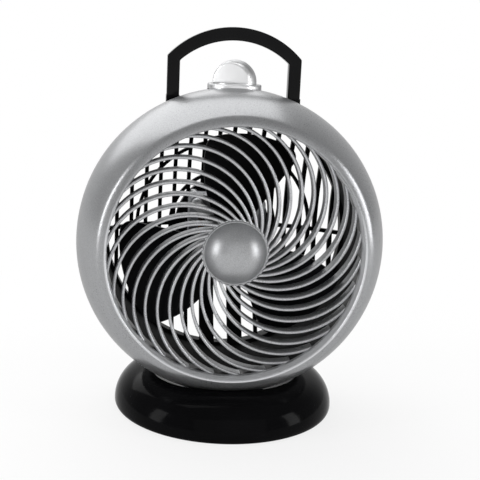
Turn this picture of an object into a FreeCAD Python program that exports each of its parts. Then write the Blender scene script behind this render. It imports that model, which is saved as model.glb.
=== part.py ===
import FreeCAD, Part
import math
import os
from types import SimpleNamespace

import Sketcher

# A table fan: a round silver head on a domed black base, front towards -Y, origin on the table
# under the middle of the base. Head pieces are drawn in a frame of their own: X to the right as
# seen from the front, Y up and Z forwards along the fan axis, with zero at the ring's back edge.

# Driving dimensions in millimetres, degrees or counts
SIZES = [
    ("ring_clear", 16.0, "ring above the table"),
    ("ring_radius", 120.0, "front ring, outside"),
    ("ring_band", 8.0, "straight band behind the ring's curve"),
    ("ring_wall", 2.6, "front ring wall"),
    ("ring_back_round", 1.5, "round on the ring's back edge"),
    ("crest_inset", 17.0, "front crest inside the ring's radius"),
    ("crest_front", 58.0, "crest ahead of the ring's back edge"),
    ("crest_round", 9.0, "round on the crest"),
    ("lip_width", 7.0, "ring mouth inside the crest"),
    ("lip_front", 61.5, "lip ahead of the ring's back edge"),
    ("lip_round", 1.4, "round on the lip"),
    ("lip_depth", 10.5, "mouth wall behind the lip"),
    ("rib_count", 30, "spiral ribs in the front grille"),
    ("rib_width", 2.4, "rib width"),
    ("rib_depth", 9.0, "rib depth along the axis"),
    ("rib_front", 47.5, "rib fronts ahead of the ring's back edge"),
    ("rib_near", 13.2, "how near to the axis a rib's circle comes"),
    ("rib_spare", 3.0, "how far a rib's circle passes the rim"),
    ("rib_phase", 101.8, "angle of the first rib's bend centre"),
    ("rim_wall", 2.4, "grille rim wall"),
    ("rim_depth", 15.0, "grille rim length"),
    ("hub_radius", 25.5, "grille hub"),
    ("hub_back", 38.0, "back of the grille hub"),
    ("hub_front", 46.0, "seat of the cap on the hub"),
    ("hub_floor", 3.0, "hub floor"),
    ("hub_wall", 4.0, "hub wall"),
    ("tab_step", 5.4, "tab screws outside the grille rim"),
    ("tab_width", 9.0, "width of a screw tab"),
    ("tab_thick", 3.0, "thickness of a screw tab"),
    ("tab_reach", 3.8, "tab beyond its screw"),
    ("cap_radius", 23.6, "dome of the centre cap"),
    ("cap_height", 17.5, "height of the dome"),
    ("cap_wall", 2.0, "wall of the cap"),
    ("cap_bead", 1.0, "bead round the cap's foot"),
    ("cap_bead_height", 1.4, "height of that bead"),
    ("stud_radius", 4.0, "screw stud inside the cap"),
    ("fit_gap", 0.2, "clearance of pieces that slip together"),
    ("seat_gap", 0.3, "clearance between facing edges"),
    ("pilot_gap", 0.02, "clearance of a screw in its pilot hole"),
    ("drum_step", 1.8, "rear housing inside the ring's radius"),
    ("drum_taper", 8.2, "how much the rear housing narrows"),
    ("drum_depth", 40.0, "rear housing depth"),
    ("drum_wall", 2.5, "rear housing wall"),
    ("drum_shoulder", 3.5, "round on the rear housing's back edge"),
    ("spigot_length", 7.0, "spigot of the housing inside the ring"),
    ("duct_flare", 3.2, "how much the air duct widens to the back"),
    ("duct_wall", 2.0, "air duct wall"),
    ("post_inset", 16.0, "posts that join ring and housing, inside the ring's radius"),
    ("post_radius", 4.0, "post"),
    ("post_count", 4, "posts that join ring and housing"),
    ("well_radius", 2.8, "screw well in the housing"),
    ("well_wall", 1.4, "wall of a screw well"),
    ("dome_edge", 2.0, "edge of the rear grille's dome behind its rim's front"),
    ("dome_back", 70.0, "rear grille behind the ring's back edge"),
    ("dome_wall", 2.6, "rear grille wall"),
    ("bar_pitch", 11.9, "pitch of the upright bars"),
    ("bar_width", 3.2, "width of the upright bars"),
    ("hoop_outer", 72.7, "outer hoop of the rear grille"),
    ("hoop_inner", 44.5, "inner hoop of the rear grille"),
    ("hoop_width", 2.8, "width of the hoops"),
    ("hoop_dip", 20.0, "angle at which the hoops end below the level of the axis"),
    ("strut_width", 12.4, "width of the two struts below the motor mount"),
    ("mount_radius", 40.0, "motor mount in the rear grille"),
    ("mount_front", 61.4, "motor mount face behind the ring's back edge"),
    ("mount_back", 67.0, "back of the motor mount"),
    ("rear_rim_wall", 2.4, "rear grille rim wall"),
    ("rear_rim_depth", 9.0, "rear grille rim length"),
    ("rear_tab_angle", 20.0, "angle of the first rear grille tab"),
    ("handle_half", 52.5, "half width of the handle"),
    ("handle_leg", 9.8, "width of a handle leg"),
    ("handle_deep", 9.0, "handle from front to back"),
    ("socket_rise", 3.7, "foot of the handle above the ring beside it"),
    ("leg_height", 30.3, "handle leg up to its outer corner"),
    ("corner_step", 3.6, "inner corner of the handle below the outer one"),
    ("handle_rise", 23.2, "rise of the handle's arch"),
    ("handle_bar", 10.3, "thickness of the handle's arch"),
    ("handle_back", 16.0, "handle behind the ring's back edge"),
    ("handle_round", 1.2, "round on the handle's edges"),
    ("handle_bend", 2.0, "round on the handle's corners"),
    ("socket_margin", 0.3, "handle socket beyond the leg"),
    ("knob_back", 10.0, "knob behind the ring's back edge"),
    ("seat_drop", 2.3, "knob platform below the top of the ring"),
    ("skirt_radius", 21.0, "knob skirt"),
    ("skirt_height", 4.0, "height of the knob skirt"),
    ("skirt_round", 0.9, "round on the skirt's top edge"),
    ("knob_radius", 17.0, "knob dome"),
    ("knob_rise", 1.5, "straight foot of the knob dome"),
    ("knob_cheek", 8.7, "flat grip cheek from the knob's middle"),
    ("knob_ledge", 0.8, "ledge under a cheek"),
    ("knob_round", 1.6, "round on the cheek edges"),
    ("knob_angle", 28.0, "turn of the knob as it rests"),
    ("spindle_radius", 3.0, "switch spindle"),
    ("spindle_top", 13.0, "spindle end above the platform"),
    ("spindle_foot", 10.5, "spindle foot below the platform"),
    ("bushing_radius", 4.8, "threaded bushing of the switch"),
    ("bushing_rise", 3.3, "bushing above the platform"),
    ("switch_side", 22.0, "side of the switch body"),
    ("switch_height", 9.5, "height of the switch body"),
    ("switch_pad", 5.4, "platform underside below its top"),
    ("nut_across", 13.0, "switch nut across flats"),
    ("nut_height", 2.4, "switch nut height"),
    ("run_gap", 0.05, "running clearance of a shaft"),
    ("shaft_radius", 3.0, "motor shaft"),
    ("bearing_radius", 6.0, "bearing bush, outside"),
    ("bearing_length", 8.5, "bearing bush length"),
    ("boss_radius", 11.0, "bearing boss of a motor bracket"),
    ("stator_side", 62.0, "stator lamination side"),
    ("stator_round", 7.0, "round on the stator's corners"),
    ("stator_back", 42.0, "back of the stator behind the ring's back edge"),
    ("stator_length", 22.0, "stator stack length"),
    ("stator_bore", 17.6, "stator bore"),
    ("air_gap", 0.5, "gap between rotor and stator"),
    ("yoke_bore", 27.0, "inside of the stator yoke"),
    ("pole_width", 14.0, "width of a stator pole"),
    ("pole_count", 4, "stator poles"),
    ("coil_build", 4.0, "copper beside a pole"),
    ("coil_inner", 19.2, "inner side of a coil from the axis"),
    ("coil_depth", 4.8, "radial depth of a coil"),
    ("coil_gap", 0.25, "insulation between coil and pole"),
    ("bolt_offset", 25.0, "motor bolts from the axis, both ways"),
    ("bolt_radius", 2.0, "motor bolt"),
    ("bolt_head_radius", 3.6, "motor bolt head"),
    ("bolt_head_height", 2.6, "motor bolt head height"),
    ("foot_post_radius", 4.6, "bolt post of a motor bracket"),
    ("arm_width", 8.0, "arm of a motor bracket"),
    ("arm_thick", 4.0, "thickness of a bracket arm"),
    ("front_post", 8.0, "front bracket post length"),
    ("front_boss", 11.0, "front bearing boss length"),
    ("rotor_inset", 1.6, "rotor shorter than the stator at each end"),
    ("blade_count", 3, "impeller blades"),
    ("tip_gap", 9.3, "blade tip to duct"),
    ("blade_thick", 2.0, "blade thickness"),
    ("blade_phase", 81.0, "angle of the first blade"),
    ("blade_lead", 30.0, "leading edge ahead of a blade's middle"),
    ("blade_trail_tip", 24.0, "trailing edge behind the middle at the tip"),
    ("blade_trail_root", 40.0, "trailing edge behind the middle at the root"),
    ("blade_tip_round", 9.0, "round on the blade's tip corners"),
    ("blade_root_pitch", 36.0, "blade angle at the root"),
    ("blade_tip_pitch", 21.0, "blade angle at the tip"),
    ("blade_camber", 5.0, "camber of a blade"),
    ("blade_middle", 10.5, "blade middle ahead of the ring's back edge"),
    ("spinner_radius", 22.0, "impeller hub"),
    ("spinner_back", 6.0, "impeller hub behind the ring's back edge"),
    ("spinner_front", 27.0, "impeller hub ahead of the ring's back edge"),
    ("spinner_wall", 2.2, "impeller hub wall"),
    ("spinner_boss", 7.0, "shaft boss in the impeller hub"),
    ("spinner_round", 3.0, "round on the impeller hub"),
    ("lock_nut_across", 10.0, "impeller nut across flats"),
    ("lock_nut_height", 5.0, "impeller nut height"),
    ("shaft_tip", 1.5, "shaft end beyond the impeller nut"),
    ("gland_angle", 252.0, "angle of the cord gland"),
    ("gland_radius", 3.9, "cord gland body"),
    ("gland_flange", 5.6, "cord gland flange"),
    ("gland_rise", 5.0, "cord gland behind the housing"),
    ("gland_bore", 2.7, "cord passage"),
    ("base_radius", 88.3, "base at its widest"),
    ("base_belly", 3.4, "height of the widest part"),
    ("base_lift", 0.6, "bottom edge of the base above the table"),
    ("base_tuck", 0.9, "bottom edge inside the widest part"),
    ("flank_round", 26.0, "round of the base's flanks"),
    ("base_wall", 3.0, "base wall"),
    ("saddle_gap", 1.5, "space between head and saddle"),
    ("plate_thick", 2.5, "base cover"),
    ("foot_radius", 7.0, "rubber foot"),
    ("foot_height", 1.8, "rubber foot height"),
    ("foot_inset", 17.3, "feet inside the base's radius"),
    ("cover_inset", 21.3, "cover screws inside the base's radius"),
    ("cover_boss", 4.5, "cover screw boss"),
    ("weight_gap", 3.5, "ballast weight to the screw bosses"),
    ("weight_inner", 22.0, "ballast weight, inside"),
    ("weight_thick", 5.5, "ballast weight thickness"),
    ("pad_radius", 5.0, "rest pad in the saddle"),
    ("pad_side", 26.0, "rest pad from the middle"),
    ("pin_step", 9.0, "tilt pin behind the rear housing"),
    ("pin_height", 23.0, "tilt pin above the table"),
    ("pin_radius", 3.0, "tilt pin"),
    ("knuckle_radius", 6.5, "hinge knuckle"),
    ("lug_width", 16.0, "hinge lug on the housing"),
    ("ear_width", 8.0, "hinge ear on the base"),
    ("washer_thick", 1.0, "friction washer"),
    ("washer_gap", 0.1, "play beside a friction washer"),
    ("washer_radius", 6.0, "friction washer, outside"),
    ("pin_head_across", 10.0, "tilt pin head and nut across flats"),
    ("pin_head_height", 4.0, "tilt pin head height"),
    ("screw_radius", 1.5, "small screw"),
    ("screw_head_radius", 2.6, "small screw head"),
    ("screw_head_height", 1.3, "small screw head height"),
    ("screw_length", 9.0, "small screw length"),
    ("screw_slot", 0.8, "cross slot width in a screw head"),
]


class Size:
    """A number that carries the spreadsheet expression it comes from."""

    def __init__(self, value, text):
        self.value = value
        self.text = text

    def __float__(self):
        return float(self.value)

    def __add__(self, other):
        return Size(self.value + float(other), f"({self.text} + {words(other)})")

    def __sub__(self, other):
        return Size(self.value - float(other), f"({self.text} - {words(other)})")

    def __mul__(self, other):
        return Size(self.value * float(other), f"({self.text} * {words(other)})")

    def __truediv__(self, other):
        return Size(self.value / float(other), f"({self.text} / {words(other)})")

    def __neg__(self):
        return self * -1


def words(item):
    """The expression of a size, or a plain number as text."""
    return item.text if isinstance(item, Size) else repr(float(item))


def root(size):
    """The square root of a size."""
    return Size(math.sqrt(size.value), f"sqrt({size.text})")


def tangent_radius(run, rise):
    """Radius of an arc that starts square to the rise and covers run and rise."""
    return (run * run + rise * rise) / (rise * 2)


def on_circle(centre, radius, offset):
    """Where a circle centred beside the axis stands at an offset from its centre line."""
    return centre + root(radius * radius - offset * offset)


doc = FreeCAD.newDocument("PersonalFan")
sheet = doc.addObject("Spreadsheet::Sheet", "Sizes")
for row, (alias, value, note) in enumerate(SIZES, start=1):
    sheet.set(f"A{row}", note)
    sheet.set(f"B{row}", str(value))
    sheet.setAlias(f"B{row}", alias)
doc.recompute()
D = SimpleNamespace(**{a: Size(float(sheet.get(a)), f"Sizes.{a}") for a, _, _ in SIZES})
ZERO = D.ring_radius * 0

# Sizes that follow from others
D.axis_height = D.ring_radius + D.ring_clear
D.crest_radius = D.ring_radius - D.crest_inset
D.lip_radius = D.crest_radius - D.lip_width
D.tab_circle = D.lip_radius + D.rim_wall + D.tab_step
D.post_circle = D.ring_radius - D.post_inset
D.rib_bend = (D.lip_radius + D.rim_wall + D.rib_spare + D.rib_near) / 2
D.rib_centre = D.rib_bend - D.rib_near
D.drum_radius = D.ring_radius - D.drum_step
D.drum_rear_radius = D.drum_radius - D.drum_taper
D.duct_front_radius = D.lip_radius + D.seat_gap
D.duct_rear_radius = D.duct_front_radius + D.duct_flare
D.blade_radius = D.duct_front_radius - D.tip_gap
D.handle_foot = root(D.ring_radius * D.ring_radius - D.handle_half * D.handle_half) + D.socket_rise
D.handle_corner = D.handle_foot + D.leg_height
D.handle_inner_corner = D.handle_corner - D.corner_step
D.handle_top = D.handle_corner + D.handle_rise
D.knob_seat = D.ring_radius - D.seat_drop
D.platform_radius = D.skirt_radius + D.seat_gap
D.pin_back = D.drum_depth + D.pin_step
D.foot_circle = D.base_radius - D.foot_inset
D.cover_circle = D.base_radius - D.cover_inset
D.weight_outer = D.cover_circle - D.cover_boss - D.weight_gap

X_AXIS = FreeCAD.Vector(1, 0, 0)
Y_AXIS = FreeCAD.Vector(0, 1, 0)
Z_AXIS = FreeCAD.Vector(0, 0, 1)
LEVEL = FreeCAD.Rotation()
FACE_BACK = FreeCAD.Rotation(X_AXIS, 180)
FACE_UP = FreeCAD.Rotation(X_AXIS, -90)
FACE_DOWN = FreeCAD.Rotation(X_AXIS, 90)
ALONG_X = FreeCAD.Rotation(Y_AXIS, 90)

nodes = {}


def at(x=0, y=0, z=0, turn=LEVEL):
    """A placement from sizes or numbers."""
    return FreeCAD.Placement(FreeCAD.Vector(float(x), float(y), float(z)), turn)


def polar(radius, angle, z=0, turn=LEVEL):
    """A placement on a circle round the axis, turned to face outwards."""
    spin = FreeCAD.Rotation(Z_AXIS, float(angle))
    spot = spin.multVec(FreeCAD.Vector(float(radius), 0, 0))
    return at(spot.x, spot.y, z, spin * turn)


def ring_angles(count, first=0.0):
    """Evenly spread angles."""
    steps = int(round(float(count)))
    return [float(first) + 360.0 * step / steps for step in range(steps)]


IN_ROOM = at()
ON_HEAD = at(0, 0, D.axis_height, FreeCAD.Rotation(X_AXIS, 90))


def bind(obj, **sizes):
    """Set properties and tie each one to the sheet."""
    for name, size in sizes.items():
        setattr(obj, name, float(size))
        if isinstance(size, Size):
            obj.setExpression(name, size.text)
    return obj


def node(obj, name, place=IN_ROOM):
    """Register an object as the finished sub-part of that name."""
    obj.Label = name
    obj.Placement = place
    nodes[name] = obj
    return obj


def cylinder(name, radius, height, place=IN_ROOM):
    """A round bar standing on its placement."""
    obj = bind(doc.addObject("Part::Cylinder", name), Radius=radius, Height=height)
    obj.Placement = place
    return obj


def box(name, length, width, height, place=IN_ROOM):
    """A block standing on the middle of its base."""
    obj = bind(doc.addObject("Part::Box", name), Length=length, Width=width, Height=height)
    corner = FreeCAD.Vector(-float(length) / 2, -float(width) / 2, 0)
    obj.Placement = place * FreeCAD.Placement(corner, LEVEL)
    return obj


def prism(name, across, height, place=IN_ROOM):
    """A hexagon bar of a given size across its flats."""
    obj = doc.addObject("Part::Prism", name)
    obj.Polygon = 6
    bind(obj, Circumradius=across / math.sqrt(3.0), Height=height)
    obj.Placement = place
    return obj


def fuse(name, pieces):
    """Pieces joined into one solid."""
    obj = doc.addObject("Part::MultiFuse", name)
    obj.Shapes = pieces
    obj.Refine = True
    return obj


def group(name, pieces):
    """Separate solids that share one sub-part."""
    obj = doc.addObject("Part::Compound", name)
    obj.Links = pieces
    return obj


def cut(name, base, tools):
    """A piece with other pieces taken out of it."""
    obj = doc.addObject("Part::Cut", name)
    obj.Base = base
    obj.Tool = tools[0] if len(tools) == 1 else fuse(name + "_tools", tools)
    obj.Refine = True
    return obj


def tube(name, outer, inner, height, place=IN_ROOM):
    """A round bar with a bore."""
    bar = cylinder(name + "_bar", outer, height)
    bore = cylinder(name + "_bore", inner, height)
    obj = cut(name, bar, [bore])
    obj.Placement = place
    return obj


def feature(name, shape):
    """A solid made by hand from sheet sizes."""
    obj = doc.addObject("Part::Feature", name)
    obj.Shape = shape
    return obj


def plane_of(body, role):
    """One of a body's own origin planes."""
    return next(item for item in body.Origin.OriginFeatures if item.Role == role)


def draw(sketch, corners):
    """Draw a closed outline. A corner is (x, y) or (x, y, radius): with a radius, an arc leads to
    the next corner, counter-clockwise where the radius is positive. Corners are tied to the sheet."""
    spots = [FreeCAD.Vector(float(c[0]), float(c[1]), 0) for c in corners]
    ends = []
    for index, corner in enumerate(corners):
        here = spots[index]
        there = spots[(index + 1) % len(spots)]
        if len(corner) == 2:
            ends.append((sketch.addGeometry(Part.LineSegment(here, there), False), 1, 2))
            continue
        radius = abs(float(corner[2]))
        first, last = (here, there) if float(corner[2]) > 0 else (there, here)
        chord = last - first
        drop = math.sqrt(max(radius ** 2 - (chord.Length / 2) ** 2, 0.0))
        side = FreeCAD.Vector(-chord.y, chord.x, 0).normalize()
        middle = (first + last) * 0.5 + side * drop
        begin = math.atan2(first.y - middle.y, first.x - middle.x)
        finish = math.atan2(last.y - middle.y, last.x - middle.x)
        arc = Part.ArcOfCircle(Part.Circle(middle, Z_AXIS, radius), begin, finish)
        edge = sketch.addGeometry(arc, False)
        ends.append((edge, 1, 2) if float(corner[2]) > 0 else (edge, 2, 1))
        size = corner[2] if float(corner[2]) > 0 else -corner[2]
        rule = sketch.addConstraint(Sketcher.Constraint("Radius", edge, radius))
        sketch.setExpression(f"Constraints[{rule}]", words(size))
    for index, corner in enumerate(corners):
        edge, start, _ = ends[index]
        before, _, stop = ends[index - 1]
        sketch.addConstraint(Sketcher.Constraint("Coincident", before, stop, edge, start))
        for kind, size in (("DistanceX", corner[0]), ("DistanceY", corner[1])):
            rule = sketch.addConstraint(Sketcher.Constraint(kind, -1, 1, edge, start, float(size)))
            sketch.setExpression(f"Constraints[{rule}]", words(size))


def new_sketch(body, name, role, corners):
    """A sketch on one of the body's own planes."""
    sketch = body.newObject("Sketcher::SketchObject", name)
    sketch.AttachmentSupport = [(plane_of(body, role), "")]
    sketch.MapMode = "FlatFace"
    draw(sketch, corners)
    return sketch


def turned(name, corners):
    """A body turned round its Z axis from an outline of radius and height."""
    body = doc.addObject("PartDesign::Body", name)
    sketch = new_sketch(body, name + "_outline", "XZ_Plane", corners)
    spin = body.newObject("PartDesign::Revolution", name + "_turn")
    spin.Profile = sketch
    spin.ReferenceAxis = (sketch, ["V_Axis"])
    spin.Angle = 360
    doc.recompute()
    return body


def padded(name, role, corners, length):
    """A body made from an outline on a plane, thickened evenly to both sides."""
    body = doc.addObject("PartDesign::Body", name)
    sketch = new_sketch(body, name + "_outline", role, corners)
    pad = body.newObject("PartDesign::Pad", name + "_pad")
    pad.Profile = sketch
    pad.Midplane = True
    bind(pad, Length=length)
    doc.recompute()
    return body


def soften(body, radius, picks):
    """Round the edges of a body that a test picks."""
    base = body.Tip
    names = [f"Edge{i}" for i, edge in enumerate(base.Shape.Edges, start=1) if picks(edge)]
    if not names:
        raise ValueError("no edge to round on " + body.Name)
    rounding = body.newObject("PartDesign::Fillet", f"{body.Name}_round_{len(body.Group)}")
    rounding.Base = (base, names)
    bind(rounding, Radius=radius)
    doc.recompute()
    return body


def circle_at(radius, height):
    """A test for the circular edge of a turned body at a radius and height."""
    def picks(edge):
        if edge.Degenerated or not isinstance(edge.Curve, Part.Circle):
            return False
        level = abs(edge.Curve.Center.z - float(height)) < 0.01
        return level and abs(edge.Curve.Radius - float(radius)) < 0.01
    return picks


def screw(name, length, place, radius=D.screw_radius):
    """A pan-head screw with a cross slot, its head standing on the placement."""
    across = D.screw_head_radius * 1.3
    deep = D.screw_head_height * 0.6
    head = cylinder(name + "_head", D.screw_head_radius, D.screw_head_height)
    shank = cylinder(name + "_shank", radius, length, at(0, 0, -length))
    level = at(0, 0, D.screw_head_height - deep)
    slots = [box(name + "_slot_a", across, D.screw_slot, deep, level),
             box(name + "_slot_b", D.screw_slot, across, deep, level)]
    obj = cut(name, fuse(name + "_body", [head, shank]), slots)
    obj.Placement = place
    return obj


# Levels that several pieces share, ahead of the ring's back edge
rim_front = D.lip_front - D.lip_depth
rim_back = rim_front - D.rim_depth
tab_front = rim_back + D.tab_thick
duct_front = rim_back - D.seat_gap
ring_curve = tangent_radius(D.crest_front - D.ring_band, D.ring_radius - D.crest_radius)
ring_bend = D.ring_radius - ring_curve
spigot_radius = D.ring_radius - D.ring_wall - D.fit_gap
drum_curve = tangent_radius(D.drum_depth, D.drum_radius - D.drum_rear_radius)
drum_bend = D.drum_radius - drum_curve
drum_floor = D.drum_depth - D.drum_wall
drum_inner_rear = on_circle(drum_bend, drum_curve - D.drum_wall, drum_floor)
pilot_radius = D.screw_radius + D.pilot_gap
hole_radius = D.screw_radius + D.fit_gap
post_angles = ring_angles(D.post_count, 45)
tab_angles = ring_angles(D.post_count)
rear_tab_angles = ring_angles(D.post_count, D.rear_tab_angle)


def front_ring():
    """The silver ring: a curved shell with its mouth wall, screw posts and a notch for the knob."""
    front_inside = D.lip_front - D.ring_wall * 1.5
    bend_end = D.crest_front - D.ring_wall * 2
    bend_end_radius = on_circle(ring_bend, ring_curve - D.ring_wall, bend_end - D.ring_band)
    shell = turned("ring_shell", [
        (D.ring_radius, ZERO),
        (D.ring_radius, D.ring_band, ring_curve),
        (D.crest_radius, D.crest_front),
        (D.lip_radius, D.lip_front),
        (D.lip_radius, rim_front),
        (D.lip_radius + D.rim_wall, rim_front),
        (D.lip_radius + D.rim_wall, front_inside),
        (bend_end_radius, bend_end, D.ring_wall - ring_curve),
        (D.ring_radius - D.ring_wall, D.ring_band),
        (D.ring_radius - D.ring_wall, ZERO),
    ])
    soften(shell, D.crest_round, circle_at(D.crest_radius, D.crest_front))
    soften(shell, D.lip_round, circle_at(D.lip_radius, D.lip_front))
    soften(shell, D.ring_back_round, circle_at(D.ring_radius, ZERO))
    # Posts and stubs run up into the ring's wall and end half way through it
    skin = ring_curve - D.ring_wall / 2
    post_end = D.crest_front - D.ring_wall
    core = turned("ring_core", [
        (ZERO, ZERO),
        (D.ring_radius - D.ring_wall / 2, ZERO),
        (D.ring_radius - D.ring_wall / 2, D.ring_band, skin),
        (on_circle(ring_bend, skin, post_end - D.ring_band), post_end),
        (ZERO, post_end),
    ])
    posts = [cylinder(f"ring_post_{i}", D.post_radius, post_end, polar(D.post_circle, angle))
             for i, angle in enumerate(post_angles)]
    stubs = [cylinder(f"ring_stub_{i}", D.post_radius, post_end - tab_front,
                      polar(D.tab_circle, angle, tab_front))
             for i, angle in enumerate(tab_angles)]
    pilots = [cylinder(f"ring_post_pilot_{i}", pilot_radius, D.screw_length,
                       polar(D.post_circle, angle))
              for i, angle in enumerate(post_angles)]
    pilots += [cylinder(f"ring_stub_pilot_{i}", pilot_radius, D.screw_length,
                        polar(D.tab_circle, angle, tab_front))
               for i, angle in enumerate(tab_angles)]
    notch = cylinder("ring_notch", D.platform_radius + D.seat_gap, D.ring_radius - D.post_circle,
                     at(0, D.post_circle + D.post_radius * 2, -D.knob_back, FACE_UP))
    trimmed = doc.addObject("Part::MultiCommon", "ring_posts_trimmed")
    trimmed.Shapes = [fuse("ring_posts", posts + stubs), core]
    whole = fuse("ring_whole", [shell, trimmed])
    node(cut("front_ring_solid", whole, pilots + [notch]), "front_ring", ON_HEAD)


def rib_shape():
    """One spiral rib: a round-fronted bar bent about an axis beside the fan axis."""
    bend = float(D.rib_bend)
    offset = float(D.rib_centre)
    half = float(D.rib_width) / 2
    front = float(D.rib_front)
    back = front - float(D.rib_depth)

    def swing(reach):
        """Angle about the bend centre at which the rib stands this far from the fan axis."""
        return math.degrees(math.acos((offset ** 2 + bend ** 2 - reach ** 2) / (2 * offset * bend)))

    begin = swing(float(D.hub_radius - D.hub_wall / 2))
    finish = swing(float(D.lip_radius + D.rim_wall / 2))
    spots = [FreeCAD.Vector(bend - half, 0, back), FreeCAD.Vector(bend - half, 0, front - half),
             FreeCAD.Vector(bend, 0, front), FreeCAD.Vector(bend + half, 0, front - half),
             FreeCAD.Vector(bend + half, 0, back)]
    section = Part.Face(Part.Wire([
        Part.makeLine(spots[0], spots[1]),
        Part.Arc(spots[1], spots[2], spots[3]).toShape(),
        Part.makeLine(spots[3], spots[4]),
        Part.makeLine(spots[4], spots[0]),
    ]))
    section.rotate(FreeCAD.Vector(), Z_AXIS, 180 + begin)
    rib = section.revolve(FreeCAD.Vector(), Z_AXIS, finish - begin)
    rib.translate(FreeCAD.Vector(offset, 0, 0))
    rib.rotate(FreeCAD.Vector(), Z_AXIS, float(D.rib_phase))
    return rib


def front_grille():
    """The silver spiral grille: ribs between a hub cup and a rim with screw tabs."""
    floor = cylinder("grille_floor", D.hub_radius, D.hub_floor, at(0, 0, D.hub_back))
    wall = tube("grille_wall", D.hub_radius, D.hub_radius - D.hub_wall, D.hub_front - D.hub_back,
                at(0, 0, D.hub_back))
    rim = tube("grille_rim", D.lip_radius + D.rim_wall, D.lip_radius, D.rim_depth,
               at(0, 0, rim_back))
    tab_length = D.tab_circle + D.tab_reach - D.lip_radius - D.rim_wall / 2
    tab_middle = D.tab_circle + D.tab_reach - tab_length / 2
    tabs = [box(f"grille_tab_{i}", tab_length, D.tab_width, D.tab_thick,
                polar(tab_middle, angle, rim_back))
            for i, angle in enumerate(tab_angles)]
    holes = [cylinder(f"grille_hole_{i}", hole_radius, D.tab_thick,
                      polar(D.tab_circle, angle, rim_back))
             for i, angle in enumerate(tab_angles)]
    holes.append(cylinder("grille_cap_hole", hole_radius, D.hub_floor, at(0, 0, D.hub_back)))
    frame = cut("grille_frame", fuse("grille_blank", [floor, wall, rim] + tabs), holes)
    doc.recompute()
    first = rib_shape()
    ribs = []
    for angle in ring_angles(D.rib_count):
        rib = first.copy()
        rib.rotate(FreeCAD.Vector(), Z_AXIS, angle)
        ribs.append(rib)
    # The cap stands clear of the ribs' inner ends
    seat = Part.makeCylinder(float(D.cap_radius + D.cap_bead + D.seat_gap), float(D.rib_depth),
                             FreeCAD.Vector(0, 0, float(D.hub_front)))
    solid = frame.Shape.fuse(ribs).cut(seat).removeSplitter()
    node(feature("front_grille_solid", solid), "front_grille", ON_HEAD)


def grille_cap():
    """The silver dome in the middle of the grille, held by a stud and a screw from behind."""
    foot = D.hub_front
    dome = tangent_radius(D.cap_radius, D.cap_height)
    inner = D.cap_radius - D.cap_wall
    inner_height = D.cap_height - D.cap_wall
    inner_dome = tangent_radius(inner, inner_height)
    dome_foot = foot + D.cap_bead_height
    stud_top = on_circle(dome_foot + inner_height - inner_dome, inner_dome, D.stud_radius)
    stud_foot = D.hub_back + D.hub_floor
    pilot_end = stud_foot + D.screw_length
    body = turned("cap_body", [
        (ZERO, dome_foot + D.cap_height, -dome),
        (D.cap_radius, dome_foot),
        (D.cap_radius + D.cap_bead, dome_foot),
        (D.cap_radius + D.cap_bead, foot),
        (inner, foot),
        (inner, dome_foot, inner_dome),
        (D.stud_radius, stud_top),
        (D.stud_radius, stud_foot),
        (pilot_radius, stud_foot),
        (pilot_radius, pilot_end),
        (ZERO, pilot_end),
    ])
    soften(body, D.cap_bead_height * 0.4, circle_at(D.cap_radius + D.cap_bead, dome_foot))
    node(body, "grille_cap", ON_HEAD)
    node(screw("cap_screw_solid", D.hub_floor + D.screw_length, IN_ROOM), "cap_screw",
         ON_HEAD * at(0, 0, D.hub_back, FACE_BACK))
    screws = [screw(f"grille_screw_{i}", D.tab_thick + D.screw_length * 0.8,
                    polar(D.tab_circle, angle, rim_back, FACE_BACK))
              for i, angle in enumerate(tab_angles)]
    node(group("grille_screw_group", screws), "grille_screws", ON_HEAD)


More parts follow.
